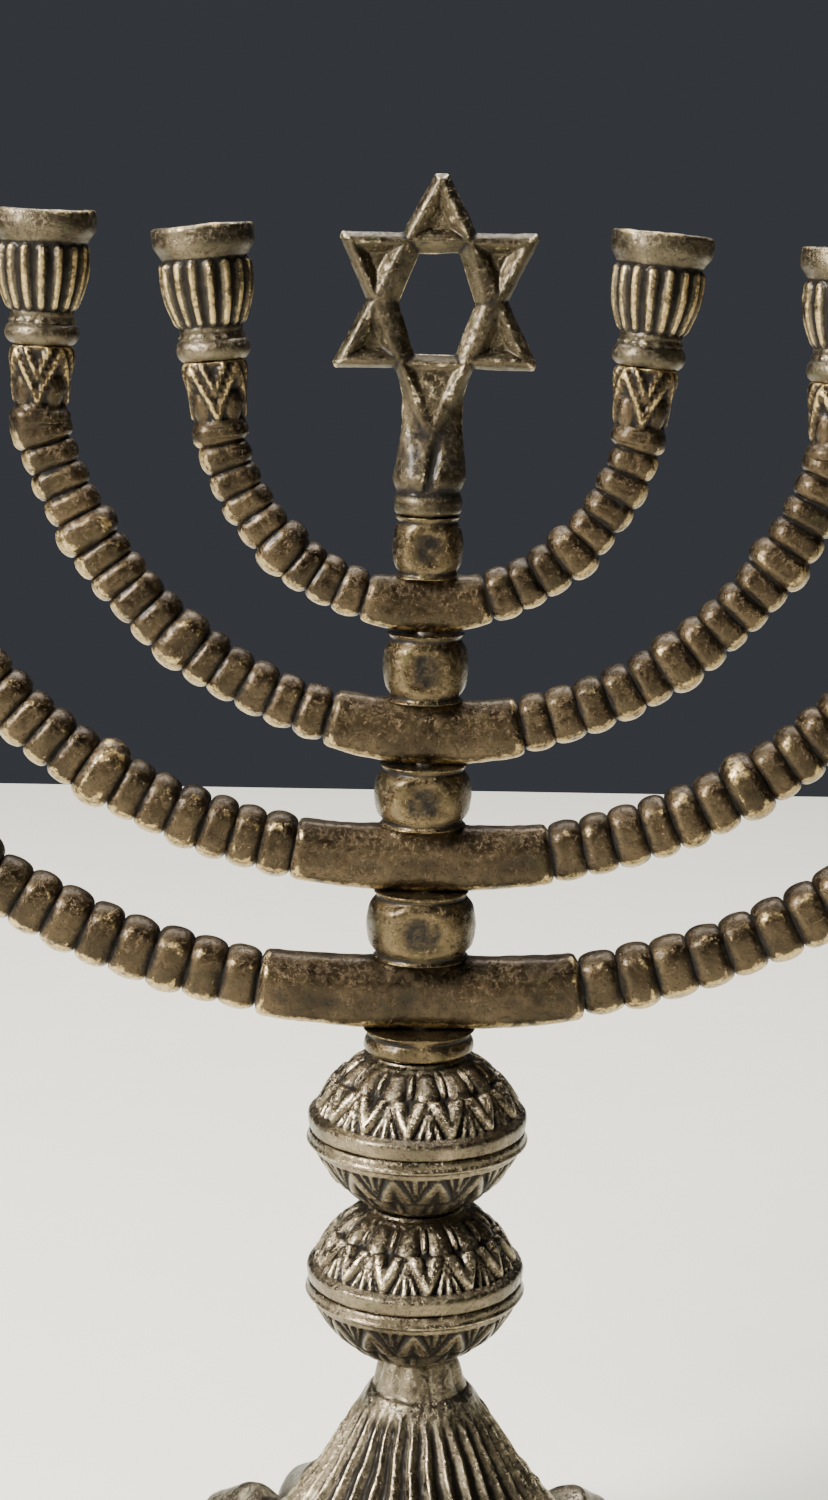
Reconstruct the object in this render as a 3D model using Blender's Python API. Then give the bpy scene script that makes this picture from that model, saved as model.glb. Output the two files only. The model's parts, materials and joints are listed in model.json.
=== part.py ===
"""A cast brass Hanukkah menorah: eight candle cups on four nested arches, and a star finial.

Every piece is strung on one threaded rod. From the table up: base, two hollow knobs, collar,
then four arches with a spacer bead above each, and the finial, which the rod screws into.
A nut and a washer inside the base pull the whole stack together.

+Z is up, +X is to the right of someone who faces the menorah, and the origin is on the table,
under the rod. Lengths are in millimetres and angles in degrees, and make_object() turns the
finished mesh into metres.
"""

import math

import bmesh
import bpy
from mathutils import Matrix, Vector

MM = 0.001
GAP = 0.35  # clearance between pieces that touch on the real menorah

# The rod and what it clamps.
ROD_R = 2.0
ROD_BORE_R = ROD_R + GAP
ROD_BOTTOM = 27.0
ROD_TOP = 203.0
NUT_R = 3.9
NUT_H = 3.2
WASHER_R = 6.0
WASHER_H = 1.0

# The base: a fluted bell that flares into a wide foot.
BASE_TOP = 52.0
BASE_NECK_R = 6.7
BASE_NECK_FOOT = 46.0
BASE_SHOULDER_R = 7.9
BASE_FLARE_R = 34.5  # where the flare meets the rolled foot
BASE_FLARE_Z = 9.0
BASE_RIM_R = 48.5
BASE_WALL = 3.0
BASE_DECK = 37.0  # underside of the solid part that the nut pulls on
BASE_SIDES = 32
SHOULDER = 0.26  # share of the flare that is gained at once, below the neck
FLARE_ROOT = 0.5  # how fast the shoulder spreads
FLARE_POWER = 1.55  # how late the rest of the flare spreads
FLARE_STEPS = 9
FLARE_CROWDING = 1.3  # crowds the flare's points towards the shoulder

# The two knobs, each of two half shells that meet at the widest place.
KNOB_H = 26.0
KNOB_R = 18.0
KNOB_END_R = 7.8
KNOB_BAND_H = 2.2
KNOB_WALL = 1.8
KNOB_STEP = 0.8  # how far its sides start inside the band
KNOB_STEPS = 4
KNOB_SWELL = math.radians(60)  # how far its sides bulge; 0 would be a plain cone
KNOB_SIDES = 20

# The collar between the upper knob and the lowest arch.
COLLAR_R = 9.1
COLLAR_TOP = 108.5

# The arches.
NECK_FOOT_Z = 205.0
SADDLE_SEAT = 6.8  # half length of a saddle's level middle
SADDLE_CHAMFER = 1.2
SADDLE_END = 0.86  # half height at a saddle's end, as a share of its middle
ARM_DEPTH = 0.92  # front to back, as a share of the height
RIB_VALLEY = 0.85  # radius between two ribs, as a share of their own
LARGE_RIB = 1.12
RING_CHAMFER = 0.5


class Arch:
    """The driving dimensions of one arch: height of its centreline over the table at the
    saddle, the saddle's thickness and half length, the arm's half thickness, the half length
    of the level middle, the bend radius, how far each cup leans outward, how far the arch
    hangs to the right, how many ribs an arm has, which of them are larger, counted from the
    saddle, and the length and radius of the ring that ends the arm."""

    def __init__(
        self, z, thick, half, arm_r, level, bend, lean, tilt, ribs, large, ring_h, ring_r
    ):
        self.z = z
        self.thick = thick
        self.half = half
        self.arm_r = arm_r
        self.level = level
        self.bend = bend
        self.lean = math.radians(lean)
        self.tilt = math.radians(tilt)
        self.ribs = ribs
        self.large = large
        self.ring_h = ring_h
        self.ring_r = ring_r

    def end_angle(self):
        """How steeply the arm climbs where its neck begins."""
        return math.acos(1 - (NECK_FOOT_Z - self.z) / self.bend)

    def length(self):
        """Centreline length from the middle of the saddle to the foot of the neck."""
        return self.level + self.bend * self.end_angle()


ARCHES = (
    Arch(178.9, 8.8, 10.0, 4.15, 0.5, 33.0, 5.4, 0.0, 8, (4,), 3.5, 4.35),
    Arch(158.3, 10.3, 15.7, 4.65, 0.0, 65.6, 0.0, 1.8, 14, (6, 11), 6.0, 4.8),
    Arch(137.6, 10.7, 21.0, 5.2, 6.5, 88.0, 2.0, 0.4, 21, (7, 14), 6.0, 5.0),
    Arch(114.9, 12.0, 26.6, 5.45, 8.5, 114.0, 2.0, 0.0, 24, (9, 17), 6.0, 5.1),
)

# The neck at each end of an arch, which carries a cup. Heights from the end of the arm.
NECK_RING_TOP = 2.6  # how far the ring at the end of an arm reaches into the neck
NECK_FOOT_R = 3.9
NECK_TOP_R = 5.1
NECK_H = 12.0
CUP_BORE_R = 2.05
CUP_BORE_DEPTH = 6.0

# The spacer beads, one above each arch.
BEAD_R = (5.65, 6.9, 7.95, 9.0)
BEAD_WAIST = 0.72  # radius at a bead's two ends, as a share of its own
BEAD_SIDES = 16
TILT_ROOM = 0.2  # more clearance where a tilted arch bears on a bead

# The candle cups.
CUP_H = 20.8
CUP_RIM_R = 8.0
CUP_RIM_H = 3.5
CUP_BODY_R = 7.25
CUP_FOOT_R = 5.0
CUP_COLLAR_R = 5.85
CUP_COLLAR_H = 3.3
CANDLE_R = 5.3
CANDLE_DEPTH = 12.5
STUD_R = 1.7
STUD_H = 5.4
CUP_SIDES = 12

# The finial: a star on a flat-sided neck.
STAR_TOP_Z = 246.2
STAR_UP_FOOT = 216.2  # lower edge of the triangle that points up
STAR_UP_HALF = 16.5
STAR_UP_H = 32.1
STAR_DOWN_TOP = 237.2  # upper edge of the triangle that points down
STAR_DOWN_HALF = 15.9
STAR_DOWN_H = 34.5
STAR_BLUNT = 1.0  # length cut off each side of a point; the top one is cut at STAR_TOP_Z
STAR_THICK = 3.6
WINDOW_Z = 226.6
WINDOW_HALF = 5.7
WINDOW_TOP_HALF = 2.9
WINDOW_HALF_H = 7.7
POCKET_DEPTH = 0.7
POCKET_INSET = 1.2
FINIAL_BOTTOM = 193.2
FINIAL_RING_R = 5.4
FINIAL_RING_H = 3.5
FINIAL_LOBE_R = 5.8  # the swell above the ring
FINIAL_NECK_R = 4.8
FINIAL_NECK_TOP = 217.0
FINIAL_NECK_DEPTH = 0.8  # front to back, as a share of the width


def clear_scene():
    for obj in list(bpy.data.objects):
        bpy.data.objects.remove(obj, do_unlink=True)


def make_material(name, colour, roughness, metallic=1.0):
    material = bpy.data.materials.new(name)
    material.use_nodes = True
    shader = material.node_tree.nodes["Principled BSDF"]
    shader.inputs["Base Color"].default_value = (*colour, 1.0)
    shader.inputs["Roughness"].default_value = roughness
    shader.inputs["Metallic"].default_value = metallic
    material.diffuse_color = (*colour, 1.0)
    return material


def make_object(name, bm, material, crease=35.0):
    """Turns a millimetre mesh into a named object in metres, shaded smooth."""
    bmesh.ops.remove_doubles(bm, verts=bm.verts, dist=0.0005)
    bmesh.ops.recalc_face_normals(bm, faces=bm.faces)
    bmesh.ops.scale(bm, vec=(MM, MM, MM), verts=bm.verts)
    mesh = bpy.data.meshes.new(name)
    bm.to_mesh(mesh)
    bm.free()
    mesh.shade_smooth()
    mesh.set_sharp_from_angle(angle=math.radians(crease))
    obj = bpy.data.objects.new(name, mesh)
    bpy.context.scene.collection.objects.link(obj)
    if material:
        obj.data.materials.append(material)
    return obj


def turned_mesh(profile, sides, closed):
    """The (radius, height) profile spun about Z. A closed profile leaves a bore."""
    bm = bmesh.new()
    verts = [bm.verts.new((r, 0, z)) for r, z in profile]
    edges = [bm.edges.new(pair) for pair in zip(verts, verts[1:])]
    if closed:
        edges.append(bm.edges.new((verts[-1], verts[0])))
    bmesh.ops.spin(
        bm,
        geom=verts + edges,
        cent=(0, 0, 0),
        axis=(0, 0, 1),
        angle=2 * math.pi,
        steps=sides,
        use_merge=True,
    )
    return bm


def turned(name, profile, sides, material, closed=True):
    return make_object(name, turned_mesh(profile, sides, closed), material)


def lofted_mesh(rings):
    """A skin over rings of points, each ring in the same order, with flat ends."""
    bm = bmesh.new()
    loops = [[bm.verts.new(point) for point in ring] for ring in rings]
    for low, high in zip(loops, loops[1:]):
        for i, corner in enumerate(low):
            j = (i + 1) % len(low)
            bm.faces.new((corner, low[j], high[j], high[i]))
    bm.faces.new(loops[0])
    bm.faces.new(loops[-1])
    return bm


def cutter(name, bm):
    obj = make_object(name, bm, None)
    obj.hide_render = True
    obj.display_type = "WIRE"
    return obj


def cylinder_cutter(name, radius, start, end, sides=12):
    """A cylinder from one point to another."""
    axis = Vector(end) - Vector(start)
    turn = axis.to_track_quat("Z", "Y").to_matrix().to_4x4()
    bm = bmesh.new()
    bmesh.ops.create_cone(
        bm,
        cap_ends=True,
        segments=sides,
        radius1=radius,
        radius2=radius,
        depth=axis.length,
        matrix=Matrix.Translation((Vector(start) + Vector(end)) / 2) @ turn,
    )
    return cutter(name, bm)


def cut(obj, tool):
    modifier = obj.modifiers.new(tool.name, "BOOLEAN")
    modifier.operation = "DIFFERENCE"
    modifier.solver = "EXACT"
    modifier.object = tool


def octagon(centre, across, depth, angle):
    """Eight corners with flats to the front, back, top and bottom, square to a path in the
    XZ plane that climbs at this angle."""
    side = Vector((-math.sin(angle), 0, math.cos(angle)))
    out = Vector((0, 1, 0))
    corners = []
    for i in range(8):
        turn = math.radians(22.5 + 45 * i)
        reach = 1 / math.cos(math.radians(22.5))
        corners.append(
            Vector(centre)
            + side * (across * reach * math.cos(turn))
            + out * (depth * reach * math.sin(turn))
        )
    return corners


def arch_point(arch, s):
    """Place and climb of the centreline, s from the middle of the saddle, s >= 0."""
    turn = max(0.0, (s - arch.level) / arch.bend)
    x = min(s, arch.level) + arch.bend * math.sin(turn)
    z = arch.bend * (1 - math.cos(turn))
    return x, z, turn


def hang(arch, x, z):
    """Turns a point, given from the middle of the saddle, by the arch's own tilt."""
    return (
        x * math.cos(arch.tilt) + z * math.sin(arch.tilt),
        arch.z - x * math.sin(arch.tilt) + z * math.cos(arch.tilt),
    )


def neck_frame(arch, side):
    """Foot of the neck, and its direction, on one side (-1 left, 1 right)."""
    x, z, _ = arch_point(arch, arch.length())
    foot = hang(arch, side * x, z)
    lean = side * arch.lean + arch.tilt
    return Vector((foot[0], 0, foot[1])), Vector((math.sin(lean), 0, math.cos(lean)))


def rib_stations(arch):
    """(distance from the saddle, radius) of each valley and crest along an arm, and of the
    ring that ends it."""
    ring_foot = arch.length() + NECK_RING_TOP - arch.ring_h
    pitch = (ring_foot - arch.half) / arch.ribs
    stations = []
    for i in range(arch.ribs):
        start = arch.half + i * pitch
        crest = arch.arm_r * (LARGE_RIB if i + 1 in arch.large else 1.0)
        stations.append((start, arch.arm_r * RIB_VALLEY))
        stations.append((start + pitch / 2, crest))
    stations.append((ring_foot, arch.arm_r * RIB_VALLEY))
    stations.append((ring_foot + RING_CHAMFER, arch.ring_r))
    stations.append((arch.length(), arch.ring_r))
    return stations


def path_ring(arch, side, s, r, level=False):
    """The section of an arch, s from the middle of its saddle."""
    x, z, climb = (s, 0.0, 0.0) if level else arch_point(arch, s)
    px, pz = hang(arch, side * x, z)
    angle = climb - arch.tilt if side > 0 else math.pi - climb - arch.tilt
    return octagon((px, 0, pz), r, r * ARM_DEPTH, angle)


def arm_rings(arch, side):
    """The rings of one arm, from beside the saddle to the top of its neck."""
    rings = [path_ring(arch, side, s, r) for s, r in rib_stations(arch)]
    foot, up = neck_frame(arch, side)
    angle = math.atan2(up.z, up.x)
    for height, r in (
        (NECK_RING_TOP - RING_CHAMFER, arch.ring_r),
        (NECK_RING_TOP, NECK_FOOT_R),
        (NECK_H, NECK_TOP_R),
    ):
        rings.append(octagon(foot + up * height, r, r, angle))
    return rings


def saddle_rings(arch, side):
    """The rings of half a saddle: level under the bead, then curved like the arm."""
    half = arch.thick / 2
    return [
        path_ring(arch, side, SADDLE_SEAT, half, level=True),
        path_ring(arch, side, arch.half - SADDLE_CHAMFER, half),
        path_ring(arch, side, arch.half - SADDLE_CHAMFER / 3, half * SADDLE_END),
    ]


def make_arch(number, arch, material):
    """One arch: saddle, two ribbed arms and their necks, bored for the rod and the cups."""
    left = saddle_rings(arch, -1) + arm_rings(arch, -1)
    right = saddle_rings(arch, 1) + arm_rings(arch, 1)
    # The left arm's rings run the other way about the path, so their order is turned.
    left = [[ring[(4 - i) % 8 - 1] for i in range(8)] for ring in left]
    obj = make_object(f"arch_{number}", lofted_mesh(left[::-1] + right), material)
    reach = arch.thick
    cut(
        obj,
        cylinder_cutter(
            f"arch_{number}_rod_hole",
            ROD_BORE_R,
            (0, 0, arch.z - reach),
            (0, 0, arch.z + reach),
        ),
    )
    for side, word in ((-1, "left"), (1, "right")):
        foot, up = neck_frame(arch, side)
        top = foot + up * NECK_H
        cut(
            obj,
            cylinder_cutter(
                f"arch_{number}_{word}_hole",
                CUP_BORE_R,
                top - up * CUP_BORE_DEPTH,
                top + up,
            ),
        )
    return obj


def make_cup(name, arch, side, material):
    """A candle cup on its collar, with the stud that screws into the neck."""
    rim_foot = CUP_H - CUP_RIM_H
    profile = [
        (0, -STUD_H),
        (STUD_R, -STUD_H),
        (STUD_R, GAP),
        (CUP_COLLAR_R, GAP),
        (CUP_COLLAR_R, CUP_COLLAR_H - 0.5),
        (CUP_FOOT_R - 0.3, CUP_COLLAR_H + 0.5),
        (CUP_FOOT_R, CUP_COLLAR_H + 1.4),
        (CUP_BODY_R - 0.7, CUP_COLLAR_H + 4.2),
        (CUP_BODY_R, CUP_COLLAR_H + 8.2),
        (CUP_BODY_R - 0.15, rim_foot - 0.6),
        (CUP_RIM_R, rim_foot),
        (CUP_RIM_R, CUP_H),
        (CANDLE_R, CUP_H),
        (CANDLE_R, CUP_H - CANDLE_DEPTH),
        (0, CUP_H - CANDLE_DEPTH),
    ]
    obj = turned(name, profile, CUP_SIDES, material, closed=False)
    foot, up = neck_frame(arch, side)
    obj.location = (foot + up * NECK_H) * MM
    obj.rotation_euler = (0, math.atan2(up.x, up.z), 0)
    return obj


def make_bead(number, low, high, radius, material):
    """A turned spacer bead, pinched at both ends."""
    waist = radius * BEAD_WAIST
    height = high - low
    profile = [
        (ROD_BORE_R, low),
        (waist, low),
        (waist, low + 0.08 * height),
        (radius, low + 0.3 * height),
        (radius, low + 0.7 * height),
        (waist, low + 0.92 * height),
        (waist, high),
        (ROD_BORE_R, high),
    ]
    return turned(f"spacer_bead_{number}", profile, BEAD_SIDES, material)


def make_collar(low, high, material):
    profile = [
        (ROD_BORE_R, low),
        (COLLAR_R - 0.8, low),
        (COLLAR_R, low + 0.8),
        (COLLAR_R, high - 1.4),
        (COLLAR_R - 1.8, high),
        (ROD_BORE_R, high),
    ]
    return turned("lower_collar", profile, BEAD_SIDES + 4, material)


def knob_curve(t):
    """Radius of a knob's side, t from 0 at its end to 1 at the band."""
    share = math.sin(KNOB_SWELL * t) / math.sin(KNOB_SWELL)
    return KNOB_END_R + (KNOB_R - KNOB_STEP - KNOB_END_R) * share


def make_knob_half(name, seam, end, lip, material):
    """A hollow half shell from the seam to its end. One of a pair has a lip inside, on
    which the other one is centred."""
    way = 1 if end > seam else -1
    start = seam + way * KNOB_BAND_H
    outer = [
        (knob_curve(1 - i / KNOB_STEPS), start + (end - start) * i / KNOB_STEPS)
        for i in range(KNOB_STEPS + 1)
    ]
    slope = 1.3  # the wall is measured level, and is this much thicker than square to it
    inner = [(r - KNOB_WALL * slope, z - way * KNOB_WALL) for r, z in outer[1:]]
    wall_r = KNOB_R - KNOB_WALL
    face = seam + way * GAP / 2
    profile = [(KNOB_R, face), (KNOB_R, start - way * KNOB_STEP / 2)] + outer
    profile += [(ROD_BORE_R, end), (ROD_BORE_R, end - way * KNOB_WALL)]
    profile += inner[::-1]
    if lip:
        lip_r = wall_r - GAP
        lip_wall = 1.2
        lip_end = seam - way * lip_wall
        profile += [
            (lip_r - lip_wall, start),
            (lip_r - lip_wall, lip_end),
            (lip_r, lip_end),
            (lip_r, face),
        ]
    else:
        profile += [(wall_r, start), (wall_r, face)]
    return turned(name, profile, KNOB_SIDES, material)


def flare(t):
    """Radius of the bell, t from 0 at the foot of its neck to 1 at its rolled foot."""
    share = SHOULDER * t**FLARE_ROOT + (1 - SHOULDER) * t**FLARE_POWER
    return BASE_SHOULDER_R + (BASE_FLARE_R - BASE_SHOULDER_R) * share


def make_base(material):
    """The hollow bell: a neck, a flare and a rolled foot that stands on the table."""
    drop = BASE_NECK_FOOT - BASE_FLARE_Z
    falls = [(i / FLARE_STEPS) ** FLARE_CROWDING for i in range(FLARE_STEPS + 1)]
    outer = [(flare(t), BASE_NECK_FOOT - drop * t) for t in falls]
    shelf = WASHER_R + 1.5
    inner = [
        (r - BASE_WALL, z - BASE_WALL)
        for r, z in outer
        if z - BASE_WALL < BASE_DECK - BASE_WALL and r - BASE_WALL > shelf
    ]
    roll = BASE_RIM_R - BASE_FLARE_R
    neck_chamfer = 1.5
    profile = [
        (ROD_BORE_R, BASE_TOP),
        (BASE_NECK_R - 0.6, BASE_TOP),
        (BASE_NECK_R, BASE_TOP - neck_chamfer),
        (BASE_NECK_R + 0.8, BASE_NECK_FOOT + neck_chamfer),
    ]
    profile += outer
    profile += [
        (BASE_FLARE_R + 0.45 * roll, BASE_FLARE_Z - 0.6),
        (BASE_FLARE_R + 0.8 * roll, BASE_FLARE_Z - 2.8),
        (BASE_RIM_R, 0.4 * BASE_FLARE_Z),
        (BASE_RIM_R, 0),
        (BASE_RIM_R - BASE_WALL, 0),
        (BASE_RIM_R - BASE_WALL, 0.25 * BASE_FLARE_Z),
    ]
    profile += inner[::-1]
    profile += [(shelf, BASE_DECK), (ROD_BORE_R, BASE_DECK)]
    return turned("base_bell", profile, BASE_SIDES, material)


def make_fasteners(material):
    """The rod, and the washer and nut under the base's deck."""
    turned(
        "tie_rod",
        [(0, ROD_BOTTOM), (ROD_R, ROD_BOTTOM), (ROD_R, ROD_TOP), (0, ROD_TOP)],
        12,
        material,
        closed=False,
    )
    washer_top = BASE_DECK - GAP
    washer_low = washer_top - WASHER_H
    turned(
        "base_washer",
        [
            (ROD_BORE_R, washer_top),
            (WASHER_R, washer_top),
            (WASHER_R, washer_low),
            (ROD_BORE_R, washer_low),
        ],
        20,
        material,
    )
    nut_top = washer_low - GAP
    turned(
        "base_nut",
        [
            (ROD_BORE_R, nut_top),
            (NUT_R, nut_top),
            (NUT_R, nut_top - NUT_H),
            (ROD_BORE_R, nut_top - NUT_H),
        ],
        6,
        material,
    )


def star_lines():
    """The star's six edges as (point, inward direction): bar, left and right of the triangle
    that points up, then of the one that points down."""
    edges = []
    for bar, rise, half in (
        (STAR_UP_FOOT, STAR_UP_H, STAR_UP_HALF),
        (STAR_DOWN_TOP, -STAR_DOWN_H, STAR_DOWN_HALF),
    ):
        edges.append((Vector((0, 0, bar)), Vector((0, 0, math.copysign(1, rise)))))
        for side in (-1, 1):
            inward = Vector((-abs(rise) * side, 0, -math.copysign(half, rise)))
            edges.append((Vector((0, 0, bar + rise)), inward.normalized()))
    return edges


def crossing(first, second, inset=0.0):
    """Where two of the star's edges cross, each moved inward."""
    (p, n), (q, m) = first, second
    a = n.dot(p) + inset
    b = m.dot(q) + inset
    det = n.x * m.z - n.z * m.x
    return Vector(((a * m.z - b * n.z) / det, 0, (n.x * b - m.x * a) / det))


def star_points():
    """The star's points, clockwise from the top one: the two edges that meet in the point, the
    edge behind it, and the two corners beside it."""
    up_bar, up_left, up_right, down_bar, down_left, down_right = star_lines()
    top_right = crossing(up_right, down_bar)
    right = crossing(down_right, up_right)
    bottom_right = crossing(down_right, up_bar)
    bottom_left = crossing(down_left, up_bar)
    left = crossing(down_left, up_left)
    top_left = crossing(down_bar, up_left)
    return (
        (up_left, up_right, down_bar, top_left, top_right),
        (down_bar, down_right, up_right, top_right, right),
        (up_right, up_bar, down_right, right, bottom_right),
        (down_right, down_left, up_bar, bottom_right, bottom_left),
        (up_bar, up_left, down_left, bottom_left, left),
        (down_left, down_bar, up_left, left, top_left),
    )


def extruded(outline, half_depth, y=0.0):
    """A closed XZ outline as a plate that is thick in Y."""
    bm = bmesh.new()
    face = bm.faces.new([bm.verts.new((p.x, y - half_depth, p.z)) for p in outline])
    grown = bmesh.ops.extrude_face_region(bm, geom=[face], use_keep_orig=True)
    moved = [v for v in grown["geom"] if isinstance(v, bmesh.types.BMVert)]
    bmesh.ops.translate(bm, vec=(0, 2 * half_depth, 0), verts=moved)
    return bm


def make_finial(material):
    """The star, its neck and its ring, tapped from below for the rod."""
    points = star_points()
    outline = []
    for number, (first, second, _, before, after) in enumerate(points):
        tip = crossing(first, second)
        cut_back = STAR_BLUNT
        if number == 0:
            cut_back = (tip.z - STAR_TOP_Z) / (tip - after).normalized().z
        outline.append(tip + (before - tip).normalized() * cut_back)
        outline.append(tip + (after - tip).normalized() * cut_back)
        outline.append(after)
    obj = make_object("finial_star", extruded(outline, STAR_THICK / 2), material)
    window = [
        Vector((x * side, 0, WINDOW_Z + z))
        for side, z, x in (
            (-1, WINDOW_HALF_H, WINDOW_TOP_HALF),
            (1, WINDOW_HALF_H, WINDOW_TOP_HALF),
            (1, 0, WINDOW_HALF),
            (1, -WINDOW_HALF_H, WINDOW_TOP_HALF),
            (-1, -WINDOW_HALF_H, WINDOW_TOP_HALF),
            (-1, 0, WINDOW_HALF),
        )
    ]
    cut(obj, cutter("star_window", extruded(window, STAR_THICK)))
    join_neck(obj)
    bottom = 3
    for number, (first, second, behind, _, _) in enumerate(points):
        if number == bottom:
            continue
        for face, word in ((-1, "front"), (1, "back")):
            y = face * (STAR_THICK / 2)
            pocket = extruded(pocket_outline(first, second, behind), POCKET_DEPTH, y)
            cut(obj, cutter(f"star_pocket_{number}_{word}", pocket))
    cut(
        obj,
        cylinder_cutter(
            "finial_rod_hole",
            ROD_BORE_R,
            (0, 0, FINIAL_BOTTOM - 1),
            (0, 0, ROD_TOP + 1),
        ),
    )
    return obj


def pocket_outline(first, second, behind):
    """The sunk triangle in one point of the star, inside the edges of its three bars."""
    flipped = (behind[0], -behind[1])
    return [
        crossing(first, second, POCKET_INSET),
        crossing(first, flipped, POCKET_INSET),
        crossing(second, flipped, POCKET_INSET),
    ]


def join_neck(obj):
    """Adds the finial's neck and ring to its star."""
    ring_top = FINIAL_BOTTOM + FINIAL_RING_H
    star_depth = STAR_THICK / 2 + 0.3
    rings = []
    for z, across, depth in (
        (FINIAL_BOTTOM, FINIAL_RING_R - 0.6, FINIAL_RING_R - 0.6),
        (FINIAL_BOTTOM + 0.7, FINIAL_RING_R, FINIAL_RING_R),
        (ring_top - 0.4, FINIAL_RING_R, FINIAL_RING_R),
        (ring_top, FINIAL_RING_R - 0.5, FINIAL_RING_R - 0.7),
        (ring_top + 3.0, FINIAL_LOBE_R, FINIAL_LOBE_R * FINIAL_NECK_DEPTH),
        (ring_top + 8.0, FINIAL_NECK_R, FINIAL_NECK_R * FINIAL_NECK_DEPTH),
        (ring_top + 14.0, FINIAL_NECK_R, star_depth + 0.3),
        (FINIAL_NECK_TOP, FINIAL_NECK_R, star_depth),
    ):
        ring = octagon((0, 0, z), across, depth, math.pi / 2)
        rings.append(ring)
    neck = cutter("finial_neck", lofted_mesh(rings))
    modifier = obj.modifiers.new("neck", "BOOLEAN")
    modifier.operation = "UNION"
    modifier.solver = "EXACT"
    modifier.object = neck


def make_beads_and_collar(material):
    """Fills each space in the stack above an arch, and the one under the lowest arch."""
    above = FINIAL_BOTTOM
    for number, (arch, radius) in enumerate(zip(ARCHES, BEAD_R), 1):
        low = arch.z + arch.thick / 2 + GAP + TILT_ROOM
        make_bead(number, low, above - GAP - TILT_ROOM, radius, material)
        above = arch.z - arch.thick / 2
    knob_top = BASE_TOP + 2 * (KNOB_H + GAP)
    make_collar(knob_top + GAP, min(COLLAR_TOP, above - GAP), material)


def make_knobs(material):
    """Two knobs, the lower one first."""
    for number in (1, 2):
        low = BASE_TOP + GAP + (number - 1) * (KNOB_H + GAP)
        seam = low + KNOB_H * 0.5
        make_knob_half(f"knob_{number}_lower", seam, low, False, material)
        make_knob_half(f"knob_{number}_upper", seam, low + KNOB_H, True, material)


def make_cups(material):
    """Cups 1 to 8, from the left end of the menorah to its right end."""
    places = [(arch, -1) for arch in ARCHES[::-1]] + [(arch, 1) for arch in ARCHES]
    for number, (arch, side) in enumerate(places, 1):
        make_cup(f"candle_cup_{number}", arch, side, material)


def main():
    clear_scene()
    arch_brass = make_material("arch_brass", (0.24, 0.17, 0.09), 0.38)
    stem_brass = make_material("stem_brass", (0.26, 0.19, 0.10), 0.36)
    cup_brass = make_material("cup_brass", (0.30, 0.23, 0.13), 0.42)
    star_brass = make_material("star_brass", (0.22, 0.18, 0.11), 0.45)
    knob_brass = make_material("knob_brass", (0.22, 0.16, 0.09), 0.34)
    base_brass = make_material("base_brass", (0.27, 0.22, 0.14), 0.45)
    steel = make_material("fastener_steel", (0.45, 0.45, 0.44), 0.4)
    for number, arch in enumerate(ARCHES, 1):
        make_arch(number, arch, arch_brass)
    make_beads_and_collar(stem_brass)
    make_cups(cup_brass)
    make_finial(star_brass)
    make_knobs(knob_brass)
    make_base(base_brass)
    make_fasteners(steel)


main()
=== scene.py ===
"""Looks of a cast brass menorah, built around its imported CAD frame.

Lengths are in millimetres until a mesh is made, which MM turns into metres. +Z is up, +X is to
the right of someone who faces the menorah, and the rod through its stem is the Z axis.
"""

import itertools
import json
import math
from typing import NamedTuple

import bpy
import numpy as np
from mathutils import Matrix, Vector

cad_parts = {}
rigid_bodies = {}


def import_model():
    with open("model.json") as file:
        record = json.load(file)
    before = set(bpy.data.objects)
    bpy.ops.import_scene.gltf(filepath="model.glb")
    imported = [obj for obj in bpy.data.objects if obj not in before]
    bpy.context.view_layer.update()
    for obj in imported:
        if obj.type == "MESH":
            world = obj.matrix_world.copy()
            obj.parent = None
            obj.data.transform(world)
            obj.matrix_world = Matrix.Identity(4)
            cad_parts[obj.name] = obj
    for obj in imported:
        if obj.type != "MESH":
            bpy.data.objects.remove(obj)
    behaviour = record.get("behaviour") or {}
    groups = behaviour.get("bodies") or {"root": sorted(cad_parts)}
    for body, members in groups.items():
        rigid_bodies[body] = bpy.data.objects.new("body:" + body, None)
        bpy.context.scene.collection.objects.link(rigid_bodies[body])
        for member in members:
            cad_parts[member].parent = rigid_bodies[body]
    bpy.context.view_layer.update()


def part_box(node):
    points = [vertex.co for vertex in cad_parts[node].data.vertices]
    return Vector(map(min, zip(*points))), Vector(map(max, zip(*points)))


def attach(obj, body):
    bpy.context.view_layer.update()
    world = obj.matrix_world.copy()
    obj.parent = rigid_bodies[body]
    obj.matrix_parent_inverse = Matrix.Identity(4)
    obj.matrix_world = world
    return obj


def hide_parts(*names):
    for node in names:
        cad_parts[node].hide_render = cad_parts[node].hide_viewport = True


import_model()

MM = 0.001
BODY = "root"
FIT = 0.55  # room that the CAD leaves between a saddle and a bead
ROD_HOLE_R = 2.35
TINY = 1e-6

# The arches' necks, and the cups that they carry. Heights are from the end of an arm.
NECK_FOOT_Z = 205.0
NECK_RING_TOP = 2.6
NECK_FOOT_R = 3.95
NECK_TOP_R = 5.15
NECK_H = 12.0
NECK_LEAVES = 4
CUP_FLUTES = 16
FLUTES = (5.4, 15.6)  # heights between which a cup's flutes run
CUP_FACETS = 7  # columns of the mesh to a flute
CUP_OUTSIDE_R = 4.0  # the cup's outside lies beyond this, and its stud within
CUP_WARP = 0.08  # how far a cup's rim is bent up and down
CUP_RIM = (16, 20.8)  # heights between which that bend grows

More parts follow.
